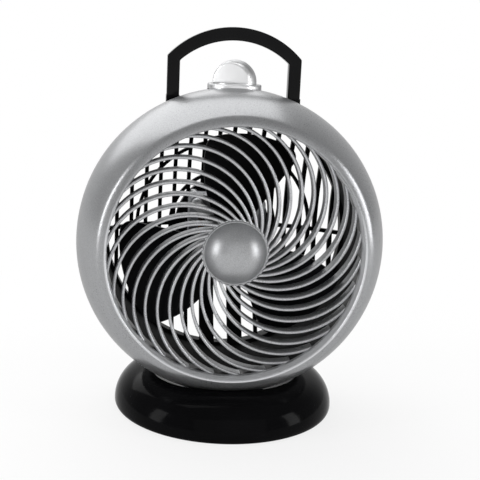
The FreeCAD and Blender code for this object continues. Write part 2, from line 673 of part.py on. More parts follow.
def rear_housing():
    """The black drum: outer wall, air duct, screw wells, knob platform, handle sockets and lug."""
    spigot_inner = spigot_radius - D.drum_wall
    shell = turned("drum_shell", [
        (spigot_radius, D.spigot_length),
        (spigot_inner, D.spigot_length),
        (spigot_inner, ZERO, D.drum_wall - drum_curve),
        (drum_inner_rear, -drum_floor),
        (D.duct_rear_radius + D.duct_wall, -drum_floor),
        (D.duct_front_radius + D.duct_wall, duct_front),
        (D.duct_front_radius, duct_front),
        (D.duct_rear_radius, -D.drum_depth),
        (D.drum_rear_radius, -D.drum_depth, drum_curve),
        (D.drum_radius, ZERO),
        (spigot_radius, ZERO),
    ])
    soften(shell, D.drum_shoulder, circle_at(D.drum_rear_radius, -D.drum_depth))
    # The space inside the outer wall trims what stands on the wall
    hollow = turned("drum_hollow", [
        (ZERO, -drum_floor),
        (drum_inner_rear, -drum_floor, drum_curve - D.drum_wall),
        (spigot_inner, ZERO),
        (spigot_inner, D.platform_radius),
        (ZERO, D.platform_radius),
    ])
    socket_height = D.handle_foot - D.handle_half
    legs = [D.handle_half - D.handle_leg / 2, D.handle_leg / 2 - D.handle_half]
    sockets = [box(f"socket_{i}", D.handle_leg + D.socket_margin * 2,
                   D.handle_deep + D.socket_margin * 2, socket_height,
                   at(side, D.handle_half, -D.handle_back, FACE_UP))
               for i, side in enumerate(legs)]
    platform = cylinder("platform", D.platform_radius, D.knob_seat - D.handle_half,
                        at(0, D.handle_half, -D.knob_back, FACE_UP))
    standing = cut("drum_standing", fuse("drum_blocks", sockets + [platform]), [hollow])
    pad = cylinder("switch_seat", D.switch_side / 2, D.switch_pad - D.drum_wall / 2,
                   at(0, D.knob_seat - D.switch_pad, -D.knob_back, FACE_UP))
    wells = [cylinder(f"well_{i}", D.well_radius + D.well_wall, D.drum_depth - D.drum_wall / 2,
                      polar(D.post_circle, angle, D.drum_wall / 2 - D.drum_depth))
             for i, angle in enumerate(post_angles)]
    stubs = [cylinder(f"rear_stub_{i}", D.post_radius, D.screw_length + D.drum_wall,
                      polar(D.tab_circle, angle, -drum_floor - D.drum_wall / 2))
             for i, angle in enumerate(rear_tab_angles)]
    lug = padded("hinge_lug", "YZ_Plane", [
        (D.pin_height + D.knuckle_radius - D.axis_height, -D.pin_back, -D.knuckle_radius),
        (D.pin_height - D.axis_height, -D.pin_back - D.knuckle_radius, -D.knuckle_radius),
        (D.pin_height - D.knuckle_radius - D.axis_height, -D.pin_back),
        (-D.drum_rear_radius + D.drum_shoulder, -drum_floor),
        (-D.duct_rear_radius - D.duct_wall / 2, -drum_floor),
    ], D.lug_width)
    whole = fuse("drum_whole", [shell, standing, pad, lug] + wells + stubs)
    holes = [cylinder(f"well_bore_{i}", D.well_radius, D.drum_depth - D.tab_thick,
                      polar(D.post_circle, angle, -D.drum_depth))
             for i, angle in enumerate(post_angles)]
    holes += [cylinder(f"well_hole_{i}", hole_radius, D.drum_depth,
                       polar(D.post_circle, angle, -D.drum_depth))
              for i, angle in enumerate(post_angles)]
    holes += [cylinder(f"rear_pilot_{i}", pilot_radius, D.screw_length,
                       polar(D.tab_circle, angle, -D.drum_depth))
              for i, angle in enumerate(rear_tab_angles)]
    seat = D.handle_foot - D.drum_wall * 2.4
    for i, side in enumerate(legs):
        holes.append(cylinder(f"socket_hole_{i}", hole_radius, D.drum_wall * 3,
                              at(side, seat - D.drum_wall / 4, -D.handle_back, FACE_UP)))
        holes.append(cylinder(f"socket_recess_{i}", D.screw_head_radius + D.fit_gap, D.drum_wall * 3,
                              at(side, seat - D.drum_wall * 3, -D.handle_back, FACE_UP)))
    holes.append(cylinder("platform_clear", D.platform_radius + D.seat_gap, D.ring_wall * 2,
                          at(0, D.knob_seat, -D.knob_back, FACE_UP)))
    holes.append(cylinder("switch_hole", D.bushing_radius + D.fit_gap, D.switch_pad * 2,
                          at(0, D.knob_seat - D.switch_pad * 1.5, -D.knob_back, FACE_UP)))
    holes.append(cylinder("gland_hole", D.gland_radius + D.pilot_gap, D.drum_wall * 2,
                          polar(D.post_circle, D.gland_angle, -D.drum_depth - D.drum_wall / 2)))
    holes.append(cylinder("lug_bore", D.pin_radius + D.run_gap, D.lug_width * 2,
                          at(-D.lug_width, D.pin_height - D.axis_height, -D.pin_back, ALONG_X)))
    node(cut("rear_housing_solid", whole, holes), "rear_housing", ON_HEAD)
    screws = [screw(f"housing_screw_{i}", D.tab_thick + D.screw_length * 0.8,
                    polar(D.post_circle, angle, -D.tab_thick, FACE_BACK))
              for i, angle in enumerate(post_angles)]
    node(group("housing_screw_group", screws), "housing_screws", ON_HEAD)
    leg_screws = [screw(f"handle_screw_{i}", D.screw_length + D.drum_wall * 2.4,
                        at(side, seat, -D.handle_back, FACE_DOWN))
                  for i, side in enumerate(legs)]
    node(group("handle_screw_group", leg_screws), "handle_screws", ON_HEAD)


def rear_grille():
    """The black domed guard: upright bars, hoops, a cross bar and the motor mount."""
    narrowing = D.duct_flare * D.rear_rim_depth / (D.drum_depth + duct_front)
    reach = D.duct_rear_radius - narrowing - D.fit_gap
    rim_start = D.drum_depth - D.rear_rim_depth + D.dome_edge
    sphere = tangent_radius(reach - D.rear_rim_wall / 2, D.dome_back - rim_start)
    middle = D.dome_back - sphere
    outer = Part.makeSphere(float(sphere), FreeCAD.Vector(0, 0, -float(middle)))
    inner = Part.makeSphere(float(sphere - D.dome_wall), FreeCAD.Vector(0, 0, -float(middle)))
    edge_radius = float(reach - D.rear_rim_wall / 2)
    tall = float(D.dome_back)
    deck = -tall - 1.0
    disc = Part.makeCylinder(edge_radius, tall, FreeCAD.Vector(0, 0, deck))
    shell = outer.cut(inner).common(disc)
    pattern = []
    pitch = float(D.bar_pitch)
    width = float(D.bar_width)
    strut = float(D.strut_width)
    bars = int(edge_radius / pitch)
    for step in range(-bars, bars):
        x = (step + 0.5) * pitch
        # Two struts take the place of the middle bars below the mount
        low = 0.0 if abs(x) < pitch * 2 else -edge_radius
        corner = FreeCAD.Vector(x - width / 2, low, deck)
        pattern.append(Part.makeBox(width, edge_radius - low, tall, corner))
    for x in (-pitch, pitch):
        corner = FreeCAD.Vector(x - strut / 2, -edge_radius, deck)
        pattern.append(Part.makeBox(strut, edge_radius, tall, corner))
    corner = FreeCAD.Vector(-edge_radius, -width / 2, deck)
    pattern.append(Part.makeBox(2 * edge_radius, width, tall, corner))
    dip = float(D.hoop_dip)
    for radius in (D.hoop_outer, D.hoop_inner):
        foot = FreeCAD.Vector(0, 0, deck)
        sweep = 180 + 2 * dip
        ring = Part.makeCylinder(float(radius + D.hoop_width / 2), tall, foot, Z_AXIS, sweep)
        hole = Part.makeCylinder(float(radius - D.hoop_width / 2), tall, foot, Z_AXIS, sweep)
        hoop = ring.cut(hole)
        hoop.rotate(foot, Z_AXIS, -dip)
        pattern.append(hoop)
    grid = pattern[0].multiFuse(pattern[1:])
    web = feature("rear_web", shell.common(grid))
    rim = tube("rear_rim", reach, reach - D.rear_rim_wall, D.rear_rim_depth, at(0, 0, -D.drum_depth))
    mount = cylinder("rear_mount", D.mount_radius, D.mount_back - D.mount_front,
                     at(0, 0, -D.mount_back))
    tab_length = D.tab_circle + D.tab_reach - reach + D.rear_rim_wall / 2
    tabs = [box(f"rear_tab_{i}", tab_length, D.tab_width, D.tab_thick,
                polar(D.tab_circle + D.tab_reach - tab_length / 2, angle,
                      -D.drum_depth - D.tab_thick))
            for i, angle in enumerate(rear_tab_angles)]
    bridges = [box(f"rear_bridge_{i}", D.rear_rim_wall, D.tab_width, D.tab_thick * 2,
                   polar(reach - D.rear_rim_wall / 2, angle, -D.drum_depth - D.tab_thick))
               for i, angle in enumerate(rear_tab_angles)]
    holes = [cylinder(f"rear_tab_hole_{i}", hole_radius, D.tab_thick * 2,
                      polar(D.tab_circle, angle, -D.drum_depth - D.tab_thick * 1.5))
             for i, angle in enumerate(rear_tab_angles)]
    holes += [cylinder(f"mount_hole_{i}", hole_radius, D.mount_back,
                       at(x, y, -D.mount_back * 1.1))
              for i, (x, y) in enumerate(bolt_spots())]
    whole = fuse("rear_whole", [web, rim, mount] + tabs + bridges)
    node(cut("rear_grille_solid", whole, holes), "rear_grille", ON_HEAD)
    screws = [screw(f"rear_screw_{i}", D.tab_thick + D.screw_length * 0.8,
                    polar(D.tab_circle, angle, -D.drum_depth - D.tab_thick, FACE_BACK))
              for i, angle in enumerate(rear_tab_angles)]
    node(group("rear_screw_group", screws), "rear_grille_screws", ON_HEAD)


def bolt_spots():
    """The four motor bolts, square about the axis."""
    step = D.bolt_offset
    return [(step, step), (-step, step), (-step, -step), (step, -step)]


def handle():
    """The black carrying handle: a flat bar bent to an arch on two legs."""
    half = D.handle_half
    inside = half - D.handle_leg
    crown = tangent_radius(half, D.handle_top - D.handle_corner)
    under = tangent_radius(inside, D.handle_top - D.handle_bar - D.handle_inner_corner)
    body = padded("handle_body", "XZ_Plane", [
        (half, D.handle_foot),
        (half, D.handle_corner, crown),
        (-half, D.handle_corner),
        (-half, D.handle_foot),
        (-inside, D.handle_foot),
        (-inside, D.handle_inner_corner, -under),
        (inside, D.handle_inner_corner),
        (inside, D.handle_foot),
    ], D.handle_deep)
    face = float(D.handle_deep) / 2
    foot = float(D.handle_foot)
    soften(body, D.handle_bend, lambda edge: abs(edge.CenterOfMass.y) < 0.01
           and edge.BoundBox.YLength > face and edge.BoundBox.ZMin > foot + 0.01)
    soften(body, D.handle_round, lambda edge: abs(edge.CenterOfMass.y) > face - 0.01
           and edge.BoundBox.ZMax > foot + 0.01)
    pilots = [cylinder(f"leg_pilot_{i}", pilot_radius, D.screw_length + D.drum_wall,
                       at(side, 0, D.handle_foot))
              for i, side in enumerate((half - D.handle_leg / 2, D.handle_leg / 2 - half))]
    node(cut("handle_solid", body, pilots), "handle", at(0, D.handle_back, D.axis_height))


def speed_knob():
    """The knob: a round skirt under a dome with two flat cheeks, on the switch spindle."""
    foot = D.seat_gap
    top = foot + D.skirt_height
    reach = D.nut_across * 0.72
    roof = D.bushing_rise + D.seat_gap * 2
    body = turned("knob_body", [
        (reach, foot),
        (D.skirt_radius, foot),
        (D.skirt_radius, top),
        (D.knob_radius, top),
        (D.knob_radius, top + D.knob_rise, D.knob_radius),
        (ZERO, top + D.knob_rise + D.knob_radius),
        (ZERO, D.spindle_top),
        (D.spindle_radius + D.pilot_gap, D.spindle_top),
        (D.spindle_radius + D.pilot_gap, roof),
        (reach, roof),
    ])
    soften(body, D.skirt_round, circle_at(D.skirt_radius, top))
    cheeks = [box(f"cheek_{i}", D.skirt_radius * 2, D.skirt_radius, D.knob_radius * 2,
                  at(0, side, top + D.knob_ledge))
              for i, side in enumerate((D.knob_cheek + D.skirt_radius / 2,
                                        -D.knob_cheek - D.skirt_radius / 2))]
    trimmed = cut("knob_trimmed", body, cheeks)
    doc.recompute()
    flat = float(D.knob_cheek)
    rounding = doc.addObject("Part::Fillet", "knob_soft")
    rounding.Base = trimmed
    size = float(D.knob_round)
    rounding.Edges = [(i, size, size) for i, edge in enumerate(trimmed.Shape.Edges, start=1)
                      if abs(abs(edge.CenterOfMass.y) - flat) < 0.01
                      and edge.BoundBox.ZMax > float(top + D.knob_rise) + flat / 2]
    seat = at(0, D.knob_back, D.axis_height + D.knob_seat,
              FreeCAD.Rotation(Z_AXIS, -float(D.knob_angle)))
    node(rounding, "speed_knob", seat)
    node(cylinder("spindle", D.spindle_radius, D.spindle_top + D.spindle_foot), "switch_spindle",
         at(0, D.knob_back, D.axis_height + D.knob_seat - D.spindle_foot))


def switch():
    """The rotary switch under the platform, with its threaded bushing and nut."""
    block = box("switch_block", D.switch_side, D.switch_side, D.switch_height,
                at(0, 0, -D.switch_pad - D.switch_height))
    neck = cylinder("switch_neck", D.bushing_radius, D.switch_pad + D.bushing_rise,
                    at(0, 0, -D.switch_pad))
    bore = cylinder("switch_bore", D.spindle_radius + D.run_gap,
                    D.spindle_foot + D.bushing_rise + D.seat_gap,
                    at(0, 0, -D.spindle_foot - D.seat_gap))
    lugs = [box(f"switch_lug_{i}", D.screw_slot, D.screw_radius * 2, D.tab_thick,
                at(x, D.switch_side / 2 - D.tab_thick, -D.switch_pad - D.switch_height - D.tab_thick / 2))
            for i, x in enumerate((-D.tab_width / 2, ZERO, D.tab_width / 2))]
    seat = at(0, D.knob_back, D.axis_height + D.knob_seat)
    node(cut("switch_solid", fuse("switch_whole", [block, neck] + lugs), [bore]), "switch_body", seat)
    nut = cut("switch_nut_solid", prism("switch_hex", D.nut_across, D.nut_height),
              [cylinder("switch_thread", D.bushing_radius + D.pilot_gap, D.nut_height)])
    node(nut, "switch_nut", seat)


def motor():
    """The open motor on the rear grille: stator with coils, two brackets, bushes and bolts."""
    front = D.stator_length - D.stator_back
    block = box("stator_block", D.stator_side, D.stator_side, D.stator_length, at(0, 0, -D.stator_back))
    doc.recompute()
    corners = doc.addObject("Part::Fillet", "stator_rounded")
    corners.Base = block
    size = float(D.stator_round)
    corners.Edges = [(i, size, size) for i, edge in enumerate(block.Shape.Edges, start=1)
                     if edge.BoundBox.ZLength > float(D.stator_length) - 0.01]
    yoke = cut("stator_yoke", corners,
               [cylinder("yoke_bore_tool", D.yoke_bore, D.stator_length, at(0, 0, -D.stator_back))])
    pole_length = D.stator_side / 2 - D.stator_bore / 2
    pole_middle = D.stator_bore / 2 + pole_length / 2
    pole_angles = ring_angles(D.pole_count)
    poles = [box(f"pole_{i}", pole_length, D.pole_width, D.stator_length,
                 polar(pole_middle, angle, -D.stator_back))
             for i, angle in enumerate(pole_angles)]
    bores = [cylinder("stator_bore_tool", D.stator_bore, D.stator_length, at(0, 0, -D.stator_back))]
    bores += [cylinder(f"stator_hole_{i}", D.bolt_radius + D.fit_gap, D.stator_length,
                       at(x, y, -D.stator_back))
              for i, (x, y) in enumerate(bolt_spots())]
    node(cut("stator_solid", fuse("stator_whole", [yoke] + poles), bores), "stator_core", ON_HEAD)

    coils = []
    window = D.pole_width + D.coil_gap * 2
    stack = D.stator_length + D.coil_gap * 2
    for i, angle in enumerate(pole_angles):
        low = -D.stator_back - D.coil_gap
        spot = polar(D.coil_inner + D.coil_depth / 2, angle, low - D.coil_build)
        bundle = box(f"coil_bundle_{i}", D.coil_depth, window + D.coil_build * 2,
                     stack + D.coil_build * 2, spot)
        core = box(f"coil_core_{i}", D.coil_depth * 2, window, stack,
                   polar(D.coil_inner + D.coil_depth / 2, angle, low))
        coils.append(cut(f"coil_{i}", bundle, [core]))
    node(group("coil_group", coils), "stator_coils", ON_HEAD)

    rear_level = -D.mount_front
    rear_post = D.mount_front - D.stator_back
    bracket("motor_rear_bracket", rear_level, rear_post, rear_level + D.tab_thick,
            D.mount_front - D.stator_back - D.rotor_inset / 2, rear_level)
    bracket("motor_front_bracket", front, D.front_post, front + D.front_post - D.arm_thick,
            D.front_boss, front + D.rotor_inset / 2)
    bush_rear = rear_level + rear_post - D.rotor_inset / 2 - D.bearing_length
    bush_front = front + D.rotor_inset / 2
    for name, level in (("rear_bearing", bush_rear), ("front_bearing", bush_front)):
        bush = tube(name + "_solid", D.bearing_radius, D.shaft_radius + D.run_gap, D.bearing_length)
        node(bush, name, ON_HEAD * at(0, 0, level))

    bolts = []
    bolt_length = D.front_post + D.stator_length + D.tab_thick
    for i, (x, y) in enumerate(bolt_spots()):
        head = prism(f"bolt_head_{i}", D.bolt_head_radius * math.sqrt(3.0), D.bolt_head_height)
        shank = cylinder(f"bolt_shank_{i}", D.bolt_radius, bolt_length, at(0, 0, -bolt_length))
        bolt = fuse(f"motor_bolt_{i}", [head, shank])
        bolt.Placement = at(x, y, front + D.front_post)
        bolts.append(bolt)
    node(group("motor_bolt_group", bolts), "motor_bolts", ON_HEAD)
    screws = [screw(f"motor_screw_{i}", D.mount_back - D.mount_front + D.tab_thick * 2,
                    at(x, y, -D.mount_back, FACE_BACK))
              for i, (x, y) in enumerate(bolt_spots())]
    node(group("motor_screw_group", screws), "motor_screws", ON_HEAD)


def bracket(name, post_level, post_length, arm_level, boss_length, boss_level):
    """A cast motor bracket: crossed arms from bolt posts to a bearing boss."""
    span = D.bolt_offset * 2 * math.sqrt(2.0)
    posts = [cylinder(f"{name}_post_{i}", D.foot_post_radius, post_length, at(x, y, post_level))
             for i, (x, y) in enumerate(bolt_spots())]
    arms = [box(f"{name}_arm_{i}", span, D.arm_width, D.arm_thick,
                at(0, 0, arm_level, FreeCAD.Rotation(Z_AXIS, turn)))
            for i, turn in enumerate((45, -45))]
    boss = cylinder(name + "_boss", D.boss_radius, boss_length, at(0, 0, boss_level))
    holes = [cylinder(f"{name}_hole_{i}", D.bolt_radius + D.pilot_gap, post_length,
                      at(x, y, post_level))
             for i, (x, y) in enumerate(bolt_spots())]
    holes.append(cylinder(name + "_seat", D.bearing_radius + D.pilot_gap, boss_length * 2,
                          at(0, 0, boss_level - boss_length / 2)))
    node(cut(name + "_solid", fuse(name + "_whole", posts + arms + [boss]), holes), name, ON_HEAD)


def blade_shape():
    """One blade: a twisted, cambered plate trimmed to its outline."""
    tip = float(D.blade_radius)
    root_radius = float(D.spinner_radius - D.spinner_wall / 2)
    half = tip * 0.62
    thick = float(D.blade_thick)
    sections = []
    for x, pitch in ((root_radius * 0.6, float(D.blade_root_pitch)), (tip * 1.1, float(D.blade_tip_pitch))):
        rise = half * math.tan(math.radians(pitch))
        level = float(D.blade_middle)
        camber = float(D.blade_camber)
        lower = [FreeCAD.Vector(x, -half, level - rise), FreeCAD.Vector(x, 0, level + camber),
                 FreeCAD.Vector(x, half, level + rise)]
        upper = [spot + FreeCAD.Vector(0, 0, thick) for spot in lower]
        sections.append(Part.Wire([
            Part.Arc(*lower).toShape(),
            Part.makeLine(lower[2], upper[2]),
            Part.Arc(upper[2], upper[1], upper[0]).toShape(),
            Part.makeLine(upper[0], lower[0]),
        ]))
    plate = Part.makeLoft(sections, True, True)

    def spot(radius, angle):
        turn = math.radians(angle)
        return FreeCAD.Vector(radius * math.cos(turn), radius * math.sin(turn), -tip)

    lead = -float(D.blade_lead)
    trail_tip = float(D.blade_trail_tip)
    trail_root = float(D.blade_trail_root)
    trail_mid = (trail_tip + trail_root) / 2
    outline = Part.Wire([
        Part.makeLine(spot(root_radius, lead), spot(tip, lead)),
        Part.Arc(spot(tip, lead), spot(tip, (lead + trail_tip) / 2), spot(tip, trail_tip)).toShape(),
        Part.Arc(spot(tip, trail_tip), spot((tip + root_radius) / 2, trail_mid + 3),
                 spot(root_radius, trail_root)).toShape(),
        Part.Arc(spot(root_radius, trail_root), spot(root_radius, 0), spot(root_radius, lead)).toShape(),
    ])
    prism_shape = Part.Face(outline).extrude(FreeCAD.Vector(0, 0, tip * 2))
    corners = [edge for edge in prism_shape.Edges if edge.BoundBox.ZLength > tip
               and math.hypot(edge.CenterOfMass.x, edge.CenterOfMass.y) > root_radius * 2]
    prism_shape = prism_shape.makeFillet(float(D.blade_tip_round), corners)
    return plate.common(prism_shape)


def impeller():
    """The black fan wheel: a cup hub on the shaft with broad pitched blades, and its nut."""
    back = -D.spinner_back
    cup = turned("spinner_cup", [
        (D.shaft_radius + D.pilot_gap, back),
        (D.spinner_boss, back),
        (D.spinner_boss, D.spinner_front - D.spinner_wall),
        (D.spinner_radius - D.spinner_wall, D.spinner_front - D.spinner_wall),
        (D.spinner_radius - D.spinner_wall, back),
        (D.spinner_radius, back),
        (D.spinner_radius, D.spinner_front),
        (D.shaft_radius + D.pilot_gap, D.spinner_front),
    ])
    soften(cup, D.spinner_round, circle_at(D.spinner_radius, D.spinner_front))
    first = blade_shape()
    blades = []
    for angle in ring_angles(D.blade_count, D.blade_phase):
        blade = first.copy()
        blade.rotate(FreeCAD.Vector(), Z_AXIS, angle)
        blades.append(blade)
    node(feature("impeller_solid", cup.Shape.fuse(blades).removeSplitter()), "impeller", ON_HEAD)
    nut = cut("lock_nut_solid", prism("lock_hex", D.lock_nut_across, D.lock_nut_height),
              [cylinder("lock_thread", D.shaft_radius + D.pilot_gap, D.lock_nut_height)])
    node(nut, "impeller_nut", ON_HEAD * at(0, 0, D.spinner_front))


def rotor():
    """The motor shaft with the rotor core and its thrust washers."""
    tail = D.mount_front - D.seat_gap
    tip = D.spinner_front + D.lock_nut_height + D.shaft_tip
    node(cylinder("shaft", D.shaft_radius, tip + tail), "motor_shaft", ON_HEAD * at(0, 0, -tail))
    length = D.stator_length - D.rotor_inset * 2
    core = tube("rotor_solid", D.stator_bore - D.air_gap, D.shaft_radius + D.pilot_gap, length)
    low = D.rotor_inset - D.stator_back
    node(core, "rotor_core", ON_HEAD * at(0, 0, low))
    thick = D.rotor_inset / 2
    washers = []
    for i, level in enumerate((low - thick, low + length)):
        washers.append(tube(f"thrust_washer_{i}", D.bearing_radius, D.shaft_radius + D.pilot_gap,
                            thick, at(0, 0, level)))
    node(group("thrust_washer_group", washers), "thrust_washers", ON_HEAD)


def cord_gland():
    """The rubber bush at the back of the housing where the mains cord goes in."""
    body = turned("gland_body", [
        (D.gland_bore, -D.drum_wall),
        (D.gland_radius, -D.drum_wall),
        (D.gland_radius, ZERO),
        (D.gland_flange, ZERO),
        (D.gland_flange, D.gland_rise / 3),
        (D.gland_radius, D.gland_rise),
        (D.gland_bore, D.gland_rise),
    ])
    node(body, "cord_gland", ON_HEAD * polar(D.post_circle, D.gland_angle, -D.drum_depth, FACE_BACK))


def dome_outline(inset, foot):
    """Outline of the base dome, taken in by an even wall."""
    radius = D.base_radius - inset
    tuck = tangent_radius(D.base_belly - D.base_lift, D.base_tuck)
    flank = D.flank_round - inset
    top = D.base_belly + flank
    return [
        (ZERO, foot),
        (radius - D.base_tuck, foot),
        (radius - D.base_tuck, D.base_lift, tuck),
        (radius, D.base_belly, flank),
        (radius - flank, top),
        (ZERO, top),
    ]


def saddle_outline(gap):
    """Outline of the space that the head takes, with a gap round it."""
    front = on_circle(ring_bend, ring_curve + gap, D.crest_front - D.ring_band)
    far = D.base_radius + D.base_wall
    return [
        (ZERO, -far),
        (D.ring_radius + gap, -far),
        (D.ring_radius + gap, D.ring_band, ring_curve + gap),
        (front, D.crest_front),
        (front, far),
        (ZERO, far),
    ]


def base():
    """The black base: a domed shell with a saddle and hinge ears, its cover, weight and feet."""
    foot = D.base_lift
    outline = dome_outline(D.base_wall * 0, foot)
    dome = turned("base_dome", outline[:1] + outline[2:])
    hollow = turned("base_hollow", dome_outline(D.base_wall, foot - D.base_wall))
    saddle = turned("saddle", saddle_outline(D.saddle_gap))
    saddle.Placement = ON_HEAD
    roof = turned("saddle_roof", saddle_outline(D.saddle_gap + D.base_wall))
    roof.Placement = ON_HEAD
    screw_angles = ring_angles(4, 45)
    cover_low = D.foot_height
    cover_top = D.foot_height + D.plate_thick
    bosses = [cylinder(f"cover_boss_{i}", D.cover_boss, D.flank_round,
                       polar(D.cover_circle, angle, cover_top))
              for i, angle in enumerate(screw_angles)]
    space = cut("base_space", hollow, [roof] + bosses)
    ear_step = D.lug_width / 2 + D.washer_thick + D.washer_gap * 2 + D.ear_width / 2
    floor = D.axis_height - D.ring_radius - D.saddle_gap - D.base_wall / 2
    ears = []
    for i, side in enumerate((ear_step, -ear_step)):
        ear = padded(f"hinge_ear_{i}", "YZ_Plane", [
            (D.pin_back + D.knuckle_radius, D.pin_height, D.knuckle_radius),
            (D.pin_back, D.pin_height + D.knuckle_radius, D.knuckle_radius),
            (D.pin_back - D.knuckle_radius, D.pin_height),
            (D.pin_back - D.knuckle_radius, floor),
            (D.pin_back + D.knuckle_radius, floor),
        ], D.ear_width)
        ear.Placement = at(side, 0, 0)
        ears.append(ear)
    shell = cut("base_walls", dome, [saddle, space])
    whole = fuse("base_whole", [shell] + ears)
    holes = [cylinder(f"cover_pilot_{i}", pilot_radius, D.screw_length,
                      polar(D.cover_circle, angle, cover_top))
             for i, angle in enumerate(screw_angles)]
    holes.append(cylinder("ear_bore", D.pin_radius + D.pilot_gap, ear_step * 4,
                          at(-ear_step * 2, D.pin_back, D.pin_height, ALONG_X)))
    node(cut("base_solid", whole, holes), "base_shell")

    cover = cylinder("cover_disc", D.base_radius - D.base_tuck - D.base_wall - D.seat_gap, D.plate_thick,
                     at(0, 0, cover_low))
    cover_holes = [cylinder(f"cover_hole_{i}", hole_radius, D.plate_thick,
                            polar(D.cover_circle, angle, cover_low))
                   for i, angle in enumerate(screw_angles)]
    node(cut("cover_solid", cover, cover_holes), "base_plate")
    screws = [screw(f"base_screw_{i}", D.plate_thick + D.screw_length * 0.8,
                    polar(D.cover_circle, angle, cover_low, FACE_BACK))
              for i, angle in enumerate(screw_angles)]
    node(group("base_screw_group", screws), "base_screws")
    feet = [cylinder(f"foot_{i}", D.foot_radius, D.foot_height, polar(D.foot_circle, angle))
            for i, angle in enumerate(ring_angles(4))]
    node(group("foot_group", feet), "rubber_feet")
    weight = tube("weight_solid", D.weight_outer, D.weight_inner, D.weight_thick)
    node(weight, "ballast_weight", at(0, 0, cover_top))

    pads = []
    for i, side in enumerate((D.pad_side, -D.pad_side)):
        pillar = cylinder(f"pad_pillar_{i}", D.pad_radius, D.axis_height / 2, at(side, -D.ring_band / 2, 0))
        pads.append(pillar)
    thick_saddle = turned("pad_under", [
        (D.ring_radius + D.seat_gap, -D.axis_height),
        (D.ring_radius + D.saddle_gap, -D.axis_height),
        (D.ring_radius + D.saddle_gap, D.axis_height),
        (D.ring_radius + D.seat_gap, D.axis_height),
    ])
    thick_saddle.Placement = ON_HEAD
    rest = doc.addObject("Part::MultiCommon", "pad_solids")
    rest.Shapes = [fuse("pad_pillars", pads), thick_saddle]
    node(rest, "rest_pads")


def tilt_hinge():
    """The friction hinge: a bolt through the ears and the lug, with its nut and washers."""
    ear_face = D.lug_width / 2 + D.washer_thick + D.washer_gap * 2 + D.ear_width
    length = ear_face * 2 + D.pin_head_height + D.shaft_tip
    head = prism("pin_head", D.pin_head_across, D.pin_head_height, at(0, 0, -D.pin_head_height))
    bolt = fuse("pin_solid", [head, cylinder("pin_shank", D.pin_radius, length)])
    centre = at(0, D.pin_back, D.pin_height, ALONG_X)
    node(bolt, "tilt_pin", centre * at(0, 0, -ear_face))
    nut = cut("pin_nut_solid", prism("pin_hex", D.pin_head_across, D.pin_head_height),
              [cylinder("pin_thread", D.pin_radius + D.pilot_gap, D.pin_head_height)])
    node(nut, "tilt_nut", centre * at(0, 0, ear_face))
    near = D.lug_width / 2 + D.washer_gap
    washers = [tube(f"friction_washer_{i}", D.washer_radius, D.pin_radius + D.pilot_gap, D.washer_thick,
                    at(0, 0, level))
               for i, level in enumerate((near, -near - D.washer_thick))]
    node(group("friction_washer_group", washers), "friction_washers", centre)


def check():
    """Stop if any object failed or any sub-part is empty or not valid."""
    doc.recompute()
    for obj in doc.Objects:
        if "Invalid" in obj.State or "Error" in obj.State:
            raise RuntimeError(f"{obj.Name} failed: {obj.State}")
    for name, obj in nodes.items():
        if obj.Shape.isNull() or not obj.Shape.isValid() or not obj.Shape.Solids:
            raise RuntimeError(f"{name} has no valid solid")


for make in (front_ring, front_grille, grille_cap, rear_housing, rear_grille, handle, speed_knob,
             switch, motor, impeller, rotor, cord_gland, base, tilt_hinge):
    make()
check()
os.makedirs("parts", exist_ok=True)
for name, obj in nodes.items():
    obj.Shape.exportStep(f"parts/{name}.step")
    print(f"{name}: {len(obj.Shape.Solids)} solid(s), {obj.Shape.Volume:.0f} mm3")
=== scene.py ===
import math

import bmesh
import bpy
from bpy.props import FloatProperty, FloatVectorProperty, PointerProperty
from mathutils import Matrix, Vector


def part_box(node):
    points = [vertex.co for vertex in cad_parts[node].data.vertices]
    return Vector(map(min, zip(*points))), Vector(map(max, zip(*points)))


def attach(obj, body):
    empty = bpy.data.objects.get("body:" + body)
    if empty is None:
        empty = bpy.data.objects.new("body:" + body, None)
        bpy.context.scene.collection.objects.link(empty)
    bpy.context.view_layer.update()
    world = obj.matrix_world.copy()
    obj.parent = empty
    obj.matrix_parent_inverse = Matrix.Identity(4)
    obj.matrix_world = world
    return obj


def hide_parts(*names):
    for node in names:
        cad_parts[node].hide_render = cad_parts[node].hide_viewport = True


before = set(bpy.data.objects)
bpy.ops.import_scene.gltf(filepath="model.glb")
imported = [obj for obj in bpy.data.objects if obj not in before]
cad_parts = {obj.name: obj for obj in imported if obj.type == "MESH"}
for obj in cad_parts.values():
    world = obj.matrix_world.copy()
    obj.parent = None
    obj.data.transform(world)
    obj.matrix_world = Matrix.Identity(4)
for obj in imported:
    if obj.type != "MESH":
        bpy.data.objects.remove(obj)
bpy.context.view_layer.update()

CAP_LOW, CAP_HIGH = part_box("grille_cap")
AXIS_HEIGHT = (CAP_LOW[2] + CAP_HIGH[2]) / 2
WELD_GAP = 1e-6
SENSOR_WIDTH = 36.0

bl_info = {
    "name": "Personal Fan Dressing",
    "version": (1, 0, 0),
    "blender": (4, 5, 0),
    "location": "View3D > Sidebar > Fan",
    "description": "Dresses the packed fan with its finishes, windings, stage and camera",
    "category": "Object",
}


